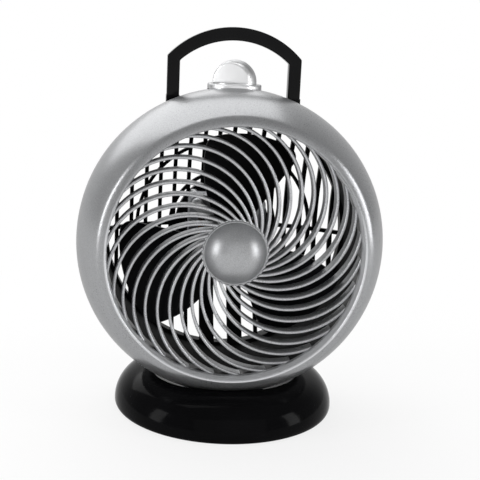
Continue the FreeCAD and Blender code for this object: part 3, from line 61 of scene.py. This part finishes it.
class FanFinishSettings(bpy.types.PropertyGroup):
    """Colours and gloss of the fan's finishes."""

    silver: FloatVectorProperty(
        name="Silver paint", description="Tone of the ring, ribs and cap", subtype="COLOR",
        size=3, min=0, max=1, default=(0.34, 0.344, 0.352))
    bright: FloatVectorProperty(
        name="Bright silver", description="Tone of the speed knob", subtype="COLOR",
        size=3, min=0, max=1, default=(0.92, 0.923, 0.93))
    black: FloatVectorProperty(
        name="Gloss black", description="Tone of the base, drum and handle", subtype="COLOR",
        size=3, min=0, max=1, default=(0.003, 0.003, 0.0034))
    satin: FloatVectorProperty(
        name="Satin black", description="Tone of the rear guard and blades", subtype="COLOR",
        size=3, min=0, max=1, default=(0.006, 0.006, 0.0066))
    silver_roughness: FloatProperty(
        name="Silver roughness", description="How soft the silver paint's shine is",
        subtype="FACTOR", min=0, max=1, default=0.29)
    # Painted light: the ribs are a lighter copy of the ring's silver, standing in for the light on their
    # fronts.
    rib_painted_light: FloatProperty(
        name="Rib tone", description="How much lighter the ribs are than the ring", min=0, default=1.5)
    # Painted light: the cap is a lighter copy of the ring's silver, standing in for the light it catches.
    cap_painted_light: FloatProperty(
        name="Cap tone", description="How much lighter the cap is than the ring", min=0, default=1.2)
    cap_softness: FloatProperty(
        name="Cap softness", description="How much rougher the cap is than the ring", min=0, default=0.09)
    black_roughness: FloatProperty(
        name="Black roughness", description="How soft the gloss black's shine is",
        subtype="FACTOR", min=0, max=1, default=0.10)
    black_shine: FloatProperty(
        name="Black shine", description="How much of the surroundings the black pieces mirror",
        subtype="FACTOR", min=0, max=1, default=0.06)
    handle_shine: FloatProperty(
        name="Handle shine", description="Share of the black shine on the handle", min=0, default=2.0)
    base_shine: FloatProperty(
        name="Base shine", description="Share of the black shine on the base", min=0, default=0.5)
    rim_inside: FloatProperty(
        name="Rim inside", description="Behind the ribs' fronts the grille is black beyond this radius",
        unit="LENGTH", default=0.0958)
    rib_front: FloatProperty(
        name="Rib front", description="Place of the ribs' fronts along Y", unit="LENGTH", default=-0.0475)
    # Painted light: within this radius the mouth wall is painted lighter and less metallic.
    lip_inside: FloatProperty(
        name="Lip inside", description="The ring's mouth wall lies within this radius", unit="LENGTH",
        default=0.0961)
    # Painted highlight: the silver is made lighter along the lip's lower edge, over this width.
    lip_painted_highlight: FloatProperty(
        name="Lip edge", description="Width of the bright edge on the lip", unit="LENGTH", default=0.0022)
    drum_inside: FloatProperty(
        name="Drum inside", description="The drum is dull within this radius", unit="LENGTH",
        default=0.106)
    crease: FloatProperty(
        name="Crease angle", description="Edges sharper than this stay sharp", subtype="ANGLE",
        min=0, max=math.pi, default=math.radians(28))


class FanWindingSettings(bpy.types.PropertyGroup):
    """Sizes of the motor's wound coils."""

    depth: FloatProperty(
        name="Depth", description="Coil depth away from the shaft", unit="LENGTH", default=0.0048)
    width: FloatProperty(
        name="Width", description="Coil width across its pole", unit="LENGTH", default=0.0225)
    build: FloatProperty(
        name="Build", description="Thickness of the wound wire", unit="LENGTH", default=0.004)
    rounding: FloatProperty(
        name="Rounding", description="Round on the bundle's edges", unit="LENGTH", default=0.0011)
    bend: FloatProperty(
        name="Bend", description="Radius of the bundle's corners", unit="LENGTH", default=0.0032)
    wire: FloatProperty(
        name="Wire", description="Pitch of the wire in the bundle", unit="LENGTH", default=0.0006)


class FanStageSettings(bpy.types.PropertyGroup):
    """Camera, lamps and floor."""

    target: FloatVectorProperty(
        name="Target", description="Point the camera looks at", subtype="TRANSLATION",
        size=3, default=(0.0, 0.0, AXIS_HEIGHT))
    distance: FloatProperty(
        name="Distance", description="Camera to target", unit="LENGTH", default=0.7681)
    swing: FloatProperty(
        name="Swing", description="Camera to the left of the front", subtype="ANGLE",
        default=math.radians(6.5))
    lift: FloatProperty(
        name="Lift", description="Camera above the target", subtype="ANGLE",
        default=math.radians(12.7))
    roll: FloatProperty(
        name="Roll", description="Tilt of the picture", subtype="ANGLE", default=math.radians(2.5))
    lens: FloatProperty(
        name="Lens", description="Focal length in millimetres on a 36 mm frame", default=72.375)
    shift: FloatVectorProperty(
        name="Shift", description="Shift of the frame", size=2, default=(0.0225, -0.00125))
    floor: FloatVectorProperty(
        name="Floor", description="Tone of the floor", subtype="COLOR", size=3, min=0, max=1,
        default=(0.90, 0.90, 0.90))
    floor_reach: FloatProperty(
        name="Floor reach", description="Middle of the floor to its edge", unit="LENGTH", default=3.0)
    shadow_near: FloatProperty(
        name="Shadow near", description="Floor keeps the shadow up to here", unit="LENGTH", default=0.14)
    shadow_far: FloatProperty(
        name="Shadow far", description="Floor is plain white from here", unit="LENGTH", default=0.45)
    shadow_fade: FloatProperty(
        name="Shadow fade", description="How much the shadow is lifted", subtype="FACTOR",
        min=0, max=1, default=0.8)
    ambient: FloatProperty(
        name="Ambient", description="Light from the surround", min=0, max=1, default=0.36)
    dim_begin: FloatProperty(
        name="Dim side", description="Direction along Y at which the surround is dim", default=0.3)
    dim_end: FloatProperty(
        name="Light side", description="Direction along Y at which the surround is white", default=0.95)
    top_power: FloatProperty(
        name="Top lamp", description="Power of the lamp above, in watts", min=0, default=20.0)
    side_power: FloatProperty(
        name="Side lamps", description="Power of each lamp at the side, in watts", min=0, default=5.5)
    front_power: FloatProperty(
        name="Front lamp", description="Power of the lamp by the camera, in watts", min=0, default=7.5)


class Value:
    """A shader socket that takes part in sums and products."""

    def __init__(self, finish, socket):
        self.finish = finish
        self.socket = socket

    def _sum(self, operation, first, second):
        return self.finish.node("ShaderNodeMath", {"operation": operation}, {0: first, 1: second})

    def __add__(self, other):
        return self._sum("ADD", self, other)

    def __radd__(self, other):
        return self._sum("ADD", other, self)

    def __sub__(self, other):
        return self._sum("SUBTRACT", self, other)

    def __rsub__(self, other):
        return self._sum("SUBTRACT", other, self)

    def __mul__(self, other):
        return self._sum("MULTIPLY", self, other)


class Finish:
    """A material or a world under construction."""

    def __init__(self, owner):
        named = isinstance(owner, str)
        self.material = bpy.data.materials.new(owner) if named else owner
        self.material.use_nodes = True
        self.tree = self.material.node_tree
        self.tree.nodes.clear()
        kind = "Material" if named else "World"
        self.output = self.tree.nodes.new("ShaderNodeOutput" + kind)

    def node(self, kind, settings=None, inputs=None, output=0):
        """Add a node with its settings and inputs, and give one of its outputs."""
        made = self.tree.nodes.new(kind)
        for name, value in (settings or {}).items():
            if name == "stops":
                self._stops(made.color_ramp, value)
            else:
                setattr(made, name, value)
        for key, value in (inputs or {}).items():
            if isinstance(value, Value):
                self.tree.links.new(value.socket, made.inputs[key])
            else:
                made.inputs[key].default_value = value
        return Value(self, made.outputs[output])

    @staticmethod
    def _stops(ramp, stops):
        """Set a ramp's stops."""
        while len(ramp.elements) < len(stops):
            ramp.elements.new(1.0)
        for element, (place, tone) in zip(ramp.elements, stops):
            element.position = place
            element.color = (*tone, 1.0)

    def place(self):
        """The piece's own coordinates in metres."""
        return self.node("ShaderNodeTexCoord", output="Object")

    def noise(self, scale, detail, roughness):
        """Noise between 0 and 1, finer with a larger scale."""
        return self.node("ShaderNodeTexNoise", {"noise_dimensions": "3D"}, {
            "Vector": self.place(), "Scale": scale, "Detail": detail, "Roughness": roughness})

    def reach(self):
        """Distance from the fan axis in metres."""
        flat = self.node("ShaderNodeVectorMath", {"operation": "MULTIPLY"}, {0: self.place(), 1: (1, 0, 1)})
        away = self.node("ShaderNodeVectorMath", {"operation": "SUBTRACT"}, {0: flat, 1: (0, 0, AXIS_HEIGHT)})
        return self.node("ShaderNodeVectorMath", {"operation": "LENGTH"}, {0: away}, "Value")

    def along(self, axis):
        """One of the piece's own coordinates in metres."""
        return self.node("ShaderNodeSeparateXYZ", {}, {"Vector": self.place()}, axis)

    def ramp(self, value, *stops):
        """A value spread over grey or coloured stops."""
        return self.node("ShaderNodeValToRGB", {"stops": stops}, {"Fac": value}, "Color")

    def mix(self, factor, first, second):
        """One colour or the other by a factor."""
        made = self.tree.nodes.new("ShaderNodeMix")
        made.data_type = "RGBA"
        self.tree.links.new(factor.socket, made.inputs["Factor"])
        for index, colour in ((6, first), (7, second)):
            if isinstance(colour, Value):
                self.tree.links.new(colour.socket, made.inputs[index])
            else:
                made.inputs[index].default_value = (*colour, 1.0)
        return Value(self, made.outputs[2])

    def largest(self, first, second):
        """The larger of two values."""
        return self.node("ShaderNodeMath", {"operation": "MAXIMUM"}, {0: first, 1: second})

    def spread(self, value, begin, end, low, high):
        """A value between two ends, eased to a new range."""
        return self.node("ShaderNodeMapRange", {"interpolation_type": "SMOOTHSTEP"}, {
            "Value": value, "From Min": begin, "From Max": end, "To Min": low, "To Max": high}, "Result")

    def bump(self, height, strength, distance):
        """A surface normal from heights."""
        return self.node("ShaderNodeBump", {}, {
            "Height": height, "Strength": strength, "Distance": distance}, "Normal")

    def shade(self, **inputs):
        """Close the material with a principled shader."""
        sockets = {name.replace("_", " "): value for name, value in inputs.items()}
        shader = self.node("ShaderNodeBsdfPrincipled", {}, sockets, "BSDF")
        self.tree.links.new(shader.socket, self.output.inputs["Surface"])
        return self.material


def ray_kinds(paint):
    """One where the camera sees a surface straight, and one where it sees it mirrored or through glass."""
    path = paint.tree.nodes.new("ShaderNodeLightPath")
    camera, glossy, clear = (Value(paint, path.outputs[name])
                             for name in ("Is Camera Ray", "Is Glossy Ray", "Is Transmission Ray"))
    return camera, paint.largest(glossy, clear)


def tint(colour, factor):
    """A colour made lighter or darker."""
    return tuple(min(1.0, channel * factor) for channel in colour)


def silver_paint(name, tone, roughness, black_rim=None, lip=None):
    """Satin silver paint with flakes; a painted highlight along the lip's lower edge, a lighter, flatter
    paint on the mouth wall as painted light there, and black beyond a radius behind the ribs' fronts.
    """
    paint = Finish(name)
    flakes = paint.noise(1300, 2.0, 0.7)
    drift = paint.noise(16, 3.0, 0.5)
    grain = paint.ramp(flakes * 0.8 + drift * 0.2, (0.32, (0, 0, 0)), (0.68, (1, 1, 1)))
    peel = paint.noise(420, 2.0, 0.5)
    colour = paint.mix(grain, tint(tone, 0.80), tint(tone, 1.20))
    metal = 0.7
    # Beyond the given radius and behind the ribs' fronts the piece is coloured black and not metallic.
    if black_rim:
        radius, front, plastic = black_rim
        out = (paint.spread(paint.reach(), radius, radius + 0.0001, 0.0, 1.0)
               * paint.spread(paint.along("Y"), front, front + 0.001, 0.0, 1.0))
        colour = paint.mix(out, colour, plastic)
        metal = metal - out * metal
    if lip:
        radius, width = lip
        wall = paint.spread(paint.reach(), radius, radius + 0.0002, 1.0, 0.0)
        edge = paint.spread(paint.reach(), radius + width - 0.001, radius + width, 1.0, 0.0)
        low = paint.spread(paint.along("Z"), AXIS_HEIGHT, AXIS_HEIGHT + 0.06, 1.0, 0.0)
        # Painted highlight: the lip's edge on the lower half is made twice as light.
        colour = paint.mix(edge * low, colour, tint(tone, 2.0))
        # Painted light: the mouth wall is made lighter and less metallic, standing in for light falling on
        # it.
        colour = paint.mix(wall, colour, tint(tone, 1.5))
        metal = metal - wall * 0.6
    return paint.shade(
        Base_Color=colour,
        Metallic=metal,
        Roughness=roughness - 0.07 + flakes * 0.09 + drift * 0.05,
        Specular_IOR_Level=0.3,
        Specular_Tint=(0.62, 0.62, 0.62, 1.0),
        Normal=paint.bump(flakes * 0.6 + peel * 0.4, 0.06, 0.0003))


def bright_silver(name, tone):
    """Smooth bright silver paint with hardly any grain and a faint haze from fingers."""
    paint = Finish(name)
    flakes = paint.noise(2600, 1.0, 0.5)
    haze = paint.noise(70, 3.0, 0.5)
    return paint.shade(
        Base_Color=paint.mix(haze * 0.7 + flakes * 0.3, tint(tone, 0.93), tint(tone, 1.05)),
        Metallic=1.0,
        Roughness=0.34 + haze * 0.08,
        Specular_Tint=(0.08, 0.08, 0.08, 1.0),
        Normal=paint.bump(flakes, 0.015, 0.0002))


def gloss_black(name, tone, roughness, shine, dull=None):
    """Polished black plastic: faint mould ripple, haze from handling, dust specks and a dull inside."""
    plastic = Finish(name)
    ripple = plastic.noise(140, 1.0, 0.4)
    haze = plastic.noise(28, 4.0, 0.6)
    specks = plastic.noise(900, 1.0, 0.4)
    dust = plastic.ramp(specks, (0.70, (0, 0, 0)), (0.78, (1, 1, 1)))
    soft = plastic.ramp(haze, (0.35, (0, 0, 0)), (0.75, (1, 1, 1)))
    polish = roughness + soft * 0.05 + dust * 0.12
    if dull:
        polish = polish + plastic.spread(plastic.reach(), dull, dull - 0.001, 0.0, 0.6)
    return plastic.shade(
        Base_Color=plastic.mix(soft * 0.5 + dust * 0.2, tone, tint(tone, 2.0)),
        Roughness=polish,
        Specular_IOR_Level=shine,
        Normal=plastic.bump(ripple, 0.035, 0.0006))


def satin_black(name, tone, roughness, shine):
    """Moulded black plastic with a fine spark-eroded texture."""
    plastic = Finish(name)
    texture = plastic.noise(1500, 2.0, 0.6)
    haze = plastic.noise(35, 3.0, 0.5)
    return plastic.shade(
        Base_Color=plastic.mix(haze, tone, tint(tone, 1.9)),
        Roughness=roughness - 0.06 + texture * 0.12 + haze * 0.06,
        Specular_IOR_Level=shine,
        Normal=plastic.bump(texture, 0.10, 0.0003))


def worn_metal(name, tone, roughness, scale=700, strength=0.08):
    """Bare metal with fine scuffs and a drift in its polish."""
    metal = Finish(name)
    scuffs = metal.noise(scale, 3.0, 0.6)
    drift = metal.noise(60, 2.0, 0.5)
    return metal.shade(
        Base_Color=metal.mix(drift, tint(tone, 0.84), tint(tone, 1.08)),
        Metallic=1.0,
        Roughness=roughness - 0.05 + scuffs * 0.12 + drift * 0.06,
        Normal=metal.bump(scuffs, strength, 0.0003))


def sheet_stack(name, tone, pitch=0.0007):
    """The edges of stacked steel sheets, lines across the fan axis."""
    stack = Finish(name)
    line = stack.node("ShaderNodeMath", {"operation": "PINGPONG"}, {0: stack.along("Y"), 1: pitch / 2})
    edge = line * (2.0 / pitch)
    rust = stack.noise(130, 3.0, 0.6)
    return stack.shade(
        Base_Color=stack.mix(edge * 0.6 + rust * 0.4, tint(tone, 0.55), tone),
        Metallic=0.85,
        Roughness=0.38 + rust * 0.2,
        Normal=stack.bump(edge, 0.25, 0.0002))


def wound_copper(name, wire):
    """Enamelled wire wound side by side: lines round the bundle under a warm varnish, each with a painted
    highlight on the wire's crown fading to painted shade in the grooves between wires.
    """
    copper = Finish(name)
    across = copper.along("X") + copper.along("Z")
    strand = copper.node("ShaderNodeMath", {"operation": "PINGPONG"}, {0: across, 1: wire / 2})
    # Each wire's crown profile serves as the bump height and as painted highlight and shade in the colour:
    # light on the crown, dark between wires.
    crown_shade_and_height = strand * (2.0 / wire)
    varnish = copper.noise(90, 3.0, 0.6)
    return copper.shade(
        Base_Color=copper.mix(crown_shade_and_height * 0.6 + varnish * 0.4, (0.16, 0.05, 0.015), (0.55, 0.22, 0.08)),
        Metallic=0.7,
        Roughness=0.25 + varnish * 0.15,
        Coat_Weight=0.4,
        Normal=copper.bump(crown_shade_and_height, 0.5, 0.0003))


def matte_rubber(name, tone):
    """Black rubber with a dry, slightly chalky surface."""
    rubber = Finish(name)
    chalk = rubber.noise(450, 4.0, 0.65)
    return rubber.shade(
        Base_Color=rubber.mix(chalk, tone, tint(tone, 2.2)),
        Roughness=0.72 + chalk * 0.18,
        Normal=rubber.bump(chalk, 0.12, 0.0004))


def cast_iron(name):
    """Rough cast iron."""
    iron = Finish(name)
    sand = iron.noise(600, 4.0, 0.7)
    return iron.shade(
        Base_Color=iron.mix(sand, (0.05, 0.05, 0.052), (0.14, 0.135, 0.13)),
        Metallic=0.7,
        Roughness=0.55 + sand * 0.25,
        Normal=iron.bump(sand, 0.4, 0.0006))


def clothe(names, material, crease):
    """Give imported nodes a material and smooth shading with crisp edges."""
    for name in names:
        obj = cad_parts[name]
        obj.data.materials.clear()
        obj.data.materials.append(material)
        obj.data.polygons.foreach_set("use_smooth", [True] * len(obj.data.polygons))
        weld = obj.modifiers.new("Weld", "WELD")
        weld.merge_threshold = WELD_GAP
        split = obj.modifiers.new("Crease", "EDGE_SPLIT")
        split.split_angle = crease


class FAN_OT_silver(bpy.types.Operator):
    """Paint the ring, the spiral grille, the cap and the knob"""
    bl_idname = "fan.silver"
    bl_label = "Silver pieces"

    def execute(self, context):
        look = context.scene.fan_finish
        soft = look.silver_roughness
        # The ring gets a painted highlight on its lip and painted light on its mouth wall.
        ring = silver_paint("satin_silver", look.silver, soft, lip=(look.lip_inside, look.lip_painted_highlight))
        rim = (look.rim_inside, look.rib_front, tuple(look.satin))
        # Painted light: the ribs get a lighter copy of the ring's silver.
        ribs = silver_paint("rib_silver", tint(look.silver, look.rib_painted_light), soft, black_rim=rim)
        # Painted light: the cap gets a lighter copy of the ring's silver.
        cap = silver_paint("cap_silver", tint(look.silver, look.cap_painted_light), soft + look.cap_softness)
        clothe(["front_ring"], ring, look.crease)
        clothe(["front_grille"], ribs, look.crease)
        clothe(["grille_cap"], cap, look.crease)
        clothe(["speed_knob"], bright_silver("knob_silver", look.bright), look.crease)
        return {"FINISHED"}


class FAN_OT_black(bpy.types.Operator):
    """Finish the drum, handle, base, rear guard and blades"""
    bl_idname = "fan.black"
    bl_label = "Black pieces"

    def execute(self, context):
        look = context.scene.fan_finish
        gloss = look.black_roughness
        shine = look.black_shine
        drum = gloss_black("drum_black", look.black, gloss, shine, look.drum_inside)
        handle = gloss_black("handle_black", look.black, gloss, shine * look.handle_shine)
        base = gloss_black("base_black", look.black, gloss, shine * look.base_shine)
        clothe(["rear_housing"], drum, look.crease)
        clothe(["handle"], handle, look.crease)
        clothe(["base_shell"], base, look.crease)
        clothe(["rear_grille"], satin_black("guard_black", look.satin, 0.42, shine), look.crease)
        clothe(["impeller"], satin_black("blade_black", look.satin, 0.30, shine), look.crease)
        clothe(["base_plate", "switch_body"],
               satin_black("cover_black", tint(look.satin, 1.8), 0.55, shine), look.crease)
        rubber = matte_rubber("rubber_black", (0.016, 0.016, 0.016))
        clothe(["rubber_feet", "rest_pads", "cord_gland"], rubber, look.crease)
        return {"FINISHED"}


class FAN_OT_works(bpy.types.Operator):
    """Finish the motor, the switch spindle, the hinge and the fasteners"""
    bl_idname = "fan.works"
    bl_label = "Motor and fasteners"

    def execute(self, context):
        crease = context.scene.fan_finish.crease
        clothe(["stator_core", "rotor_core"], sheet_stack("core_steel", (0.34, 0.35, 0.37)), crease)
        clothe(["motor_front_bracket", "motor_rear_bracket"],
               worn_metal("bracket_alloy", (0.56, 0.57, 0.58), 0.42, 500, 0.2), crease)
        clothe(["front_bearing", "rear_bearing", "thrust_washers", "friction_washers"],
               worn_metal("bearing_bronze", (0.42, 0.26, 0.11), 0.38), crease)
        clothe(["motor_shaft", "switch_spindle", "tilt_pin"],
               worn_metal("shaft_steel", (0.55, 0.55, 0.56), 0.22), crease)
        screws = [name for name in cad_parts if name.endswith(("_screw", "_screws", "_bolts", "_nut"))]
        clothe(screws, worn_metal("screw_steel", (0.50, 0.50, 0.51), 0.3), crease)
        clothe(["ballast_weight"], cast_iron("ballast_iron"), crease)
        return {"FINISHED"}


def coil_bundle(sizes, length):
    """One coil round its pole, wound about X and centred at the origin."""
    bundle = bmesh.new()
    bmesh.ops.create_cube(bundle, size=1.0)
    bmesh.ops.scale(bundle, vec=(sizes.depth, length, sizes.width), verts=bundle.verts)
    sides = [face for face in bundle.faces if abs(face.normal.x) > 0.9]
    bmesh.ops.inset_individual(bundle, faces=sides, thickness=sizes.build)
    loops = [edge for face in sides for edge in face.edges]
    bmesh.ops.delete(bundle, geom=sides, context="FACES_ONLY")
    bmesh.ops.bridge_loops(bundle, edges=loops)
    bmesh.ops.recalc_face_normals(bundle, faces=bundle.faces)
    bends = [edge for edge in bundle.edges
             if abs((edge.verts[0].co - edge.verts[1].co).x) > sizes.depth * 0.9]
    bmesh.ops.bevel(bundle, geom=bends, offset=sizes.bend, affect="EDGES", segments=5,
                    profile=0.5, material=-1, clamp_overlap=True)
    rims = [edge for edge in bundle.edges
            if all(abs(abs(v.co.x) - sizes.depth / 2) < WELD_GAP for v in edge.verts)
            and edge.calc_face_angle(0) > 0.5]
    bmesh.ops.bevel(bundle, geom=rims, offset=sizes.rounding, affect="EDGES", segments=4,
                    profile=0.5, material=-1, clamp_overlap=True)
    return bundle


class FAN_OT_windings(bpy.types.Operator):
    """Wind the motor's coils as rounded bundles of wire round the poles"""
    bl_idname = "fan.windings"
    bl_label = "Coils"

    def execute(self, context):
        sizes = context.scene.fan_winding
        low, high = (Vector(corner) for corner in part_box("stator_coils"))
        middle = (low + high) / 2
        reach = high.x - middle.x - sizes.depth / 2
        mesh = bmesh.new()
        for quarter in range(4):
            bundle = coil_bundle(sizes, high.y - low.y)
            turn = Matrix.Rotation(quarter * math.pi / 2, 4, "Y") @ Matrix.Translation((reach, 0, 0))
            bmesh.ops.transform(bundle, matrix=Matrix.Translation(middle) @ turn, verts=bundle.verts)
            part = bpy.data.meshes.new("coil_bundle")
            bundle.to_mesh(part)
            bundle.free()
            mesh.from_mesh(part)
            bpy.data.meshes.remove(part)
        for face in mesh.faces:
            face.smooth = True
        data = bpy.data.meshes.new("motor_windings")
        mesh.to_mesh(data)
        mesh.free()
        coils = bpy.data.objects.new("motor_windings", data)
        context.scene.collection.objects.link(coils)
        data.materials.append(wound_copper("coil_copper", sizes.wire))
        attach(coils, "head")
        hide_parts("stator_coils")
        return {"FINISHED"}


class FAN_OT_stage(bpy.types.Operator):
    """Set out the floor, the lamps and the camera"""
    bl_idname = "fan.stage"
    bl_label = "Stage"

    def execute(self, context):
        stage = context.scene.fan_stage
        self.floor(context, stage)
        self.world(context, stage)
        self.lamps(context, stage)
        self.camera(context, stage)
        context.scene.view_settings.view_transform = "Standard"
        return {"FINISHED"}

    def floor(self, context, stage):
        """A white floor that keeps the fan's shadow near it and is plain white further off."""
        sheet = bmesh.new()
        bmesh.ops.create_grid(sheet, x_segments=1, y_segments=1, size=stage.floor_reach)
        data = bpy.data.meshes.new("studio_floor")
        sheet.to_mesh(data)
        sheet.free()
        floor = bpy.data.objects.new("studio_floor", data)
        context.scene.collection.objects.link(floor)
        paint = Finish("studio_white")
        grain = paint.noise(40, 2.0, 0.5)
        away = paint.node("ShaderNodeVectorMath", {"operation": "LENGTH"}, {0: paint.place()}, "Value")
        far = paint.spread(away, stage.shadow_near, stage.shadow_far, stage.shadow_fade, 1.0)
        body = paint.node("ShaderNodeBsdfDiffuse", {}, {
            "Color": paint.mix(grain, tint(stage.floor, 0.985), tuple(stage.floor))}, "BSDF")
        glow = paint.node("ShaderNodeEmission", {}, {"Color": (1, 1, 1, 1), "Strength": 1.0}, "Emission")
        factor = paint.largest(*ray_kinds(paint)) * far
        blend = paint.node("ShaderNodeMixShader", {}, {0: factor, 1: body, 2: glow}, "Shader")
        paint.tree.links.new(blend.socket, paint.output.inputs["Surface"])
        data.materials.append(paint.material)

    def world(self, context, stage):
        """A white surround that dims towards the camera's side, as a studio does in a reflection."""
        world = bpy.data.worlds.new("studio_world")
        sky = Finish(world)
        camera, mirrored = ray_kinds(sky)
        toward = sky.node("ShaderNodeTexCoord", output="Generated")
        depth = sky.node("ShaderNodeSeparateXYZ", {}, {"Vector": toward}, "Y")
        studio = sky.spread(depth, stage.dim_begin, stage.dim_end, stage.ambient, 1.0)
        strength = sky.largest(sky.largest(camera, mirrored * studio), stage.ambient)
        light = sky.node("ShaderNodeBackground", {}, {
            "Color": (1.0, 1.0, 1.0, 1.0), "Strength": strength}, "Background")
        sky.tree.links.new(light.socket, sky.output.inputs["Surface"])
        context.scene.world = world

    def lamps(self, context, stage):
        """A large soft lamp above, two narrower ones at the sides and a weak one in front."""
        target = Vector(stage.target)
        for name, spot, size, power in (
                ("lamp_top", (-0.26, 0.72, 1.25), (1.7, 1.9), stage.top_power),
                ("lamp_left", (-1.30, -0.35, 0.42), (0.35, 0.8), stage.side_power),
                ("lamp_right", (1.30, -0.45, 0.38), (0.35, 0.8), stage.side_power),
                ("lamp_front", (0.10, -1.70, 0.55), (2.6, 1.8), stage.front_power)):
            data = bpy.data.lights.new(name, "AREA")
            data.shape = "RECTANGLE"
            data.size, data.size_y = size
            data.energy = power
            lamp = bpy.data.objects.new(name, data)
            lamp.location = spot
            lamp.rotation_euler = (target - Vector(spot)).to_track_quat("-Z", "Y").to_euler()
            context.scene.collection.objects.link(lamp)

    def camera(self, context, stage):
        """The photograph's point of view."""
        data = bpy.data.cameras.new("photo_camera")
        data.sensor_width = SENSOR_WIDTH
        data.lens = stage.lens
        data.shift_x, data.shift_y = stage.shift
        data.clip_start = 0.01
        camera = bpy.data.objects.new("photo_camera", data)
        away = Vector((-math.sin(stage.swing) * math.cos(stage.lift),
                       -math.cos(stage.swing) * math.cos(stage.lift), math.sin(stage.lift)))
        side = Vector((0, 0, 1)).cross(away).normalized()
        rise = away.cross(side)
        right = side * math.cos(stage.roll) + rise * math.sin(stage.roll)
        up = away.cross(right)
        turn = Matrix((right, up, away)).transposed().to_4x4()
        camera.matrix_world = Matrix.Translation(Vector(stage.target) + away * stage.distance) @ turn
        context.scene.collection.objects.link(camera)
        context.scene.camera = camera


PIECES = (FAN_OT_silver, FAN_OT_black, FAN_OT_works, FAN_OT_windings, FAN_OT_stage)


class FAN_PT_panel(bpy.types.Panel):
    """Lists the fan's pieces and settings"""
    bl_idname = "FAN_PT_panel"
    bl_label = "Personal fan"
    bl_space_type = "VIEW_3D"
    bl_region_type = "UI"
    bl_category = "Fan"

    def draw(self, context):
        for group in (context.scene.fan_finish, context.scene.fan_winding, context.scene.fan_stage):
            for name in group.__annotations__:
                self.layout.prop(group, name)
        for piece in PIECES:
            self.layout.operator(piece.bl_idname)


GROUPS = (FanFinishSettings, FanWindingSettings, FanStageSettings)


def register():
    for item in GROUPS + PIECES + (FAN_PT_panel,):
        bpy.utils.register_class(item)
    bpy.types.Scene.fan_finish = PointerProperty(type=FanFinishSettings)
    bpy.types.Scene.fan_winding = PointerProperty(type=FanWindingSettings)
    bpy.types.Scene.fan_stage = PointerProperty(type=FanStageSettings)


def unregister():
    del bpy.types.Scene.fan_stage
    del bpy.types.Scene.fan_winding
    del bpy.types.Scene.fan_finish
    for item in reversed(GROUPS + PIECES + (FAN_PT_panel,)):
        bpy.utils.unregister_class(item)


def main():
    register()
    bpy.ops.fan.silver()
    bpy.ops.fan.black()
    bpy.ops.fan.works()
    bpy.ops.fan.windings()
    bpy.ops.fan.stage()


if __name__ == "__main__":
    main()
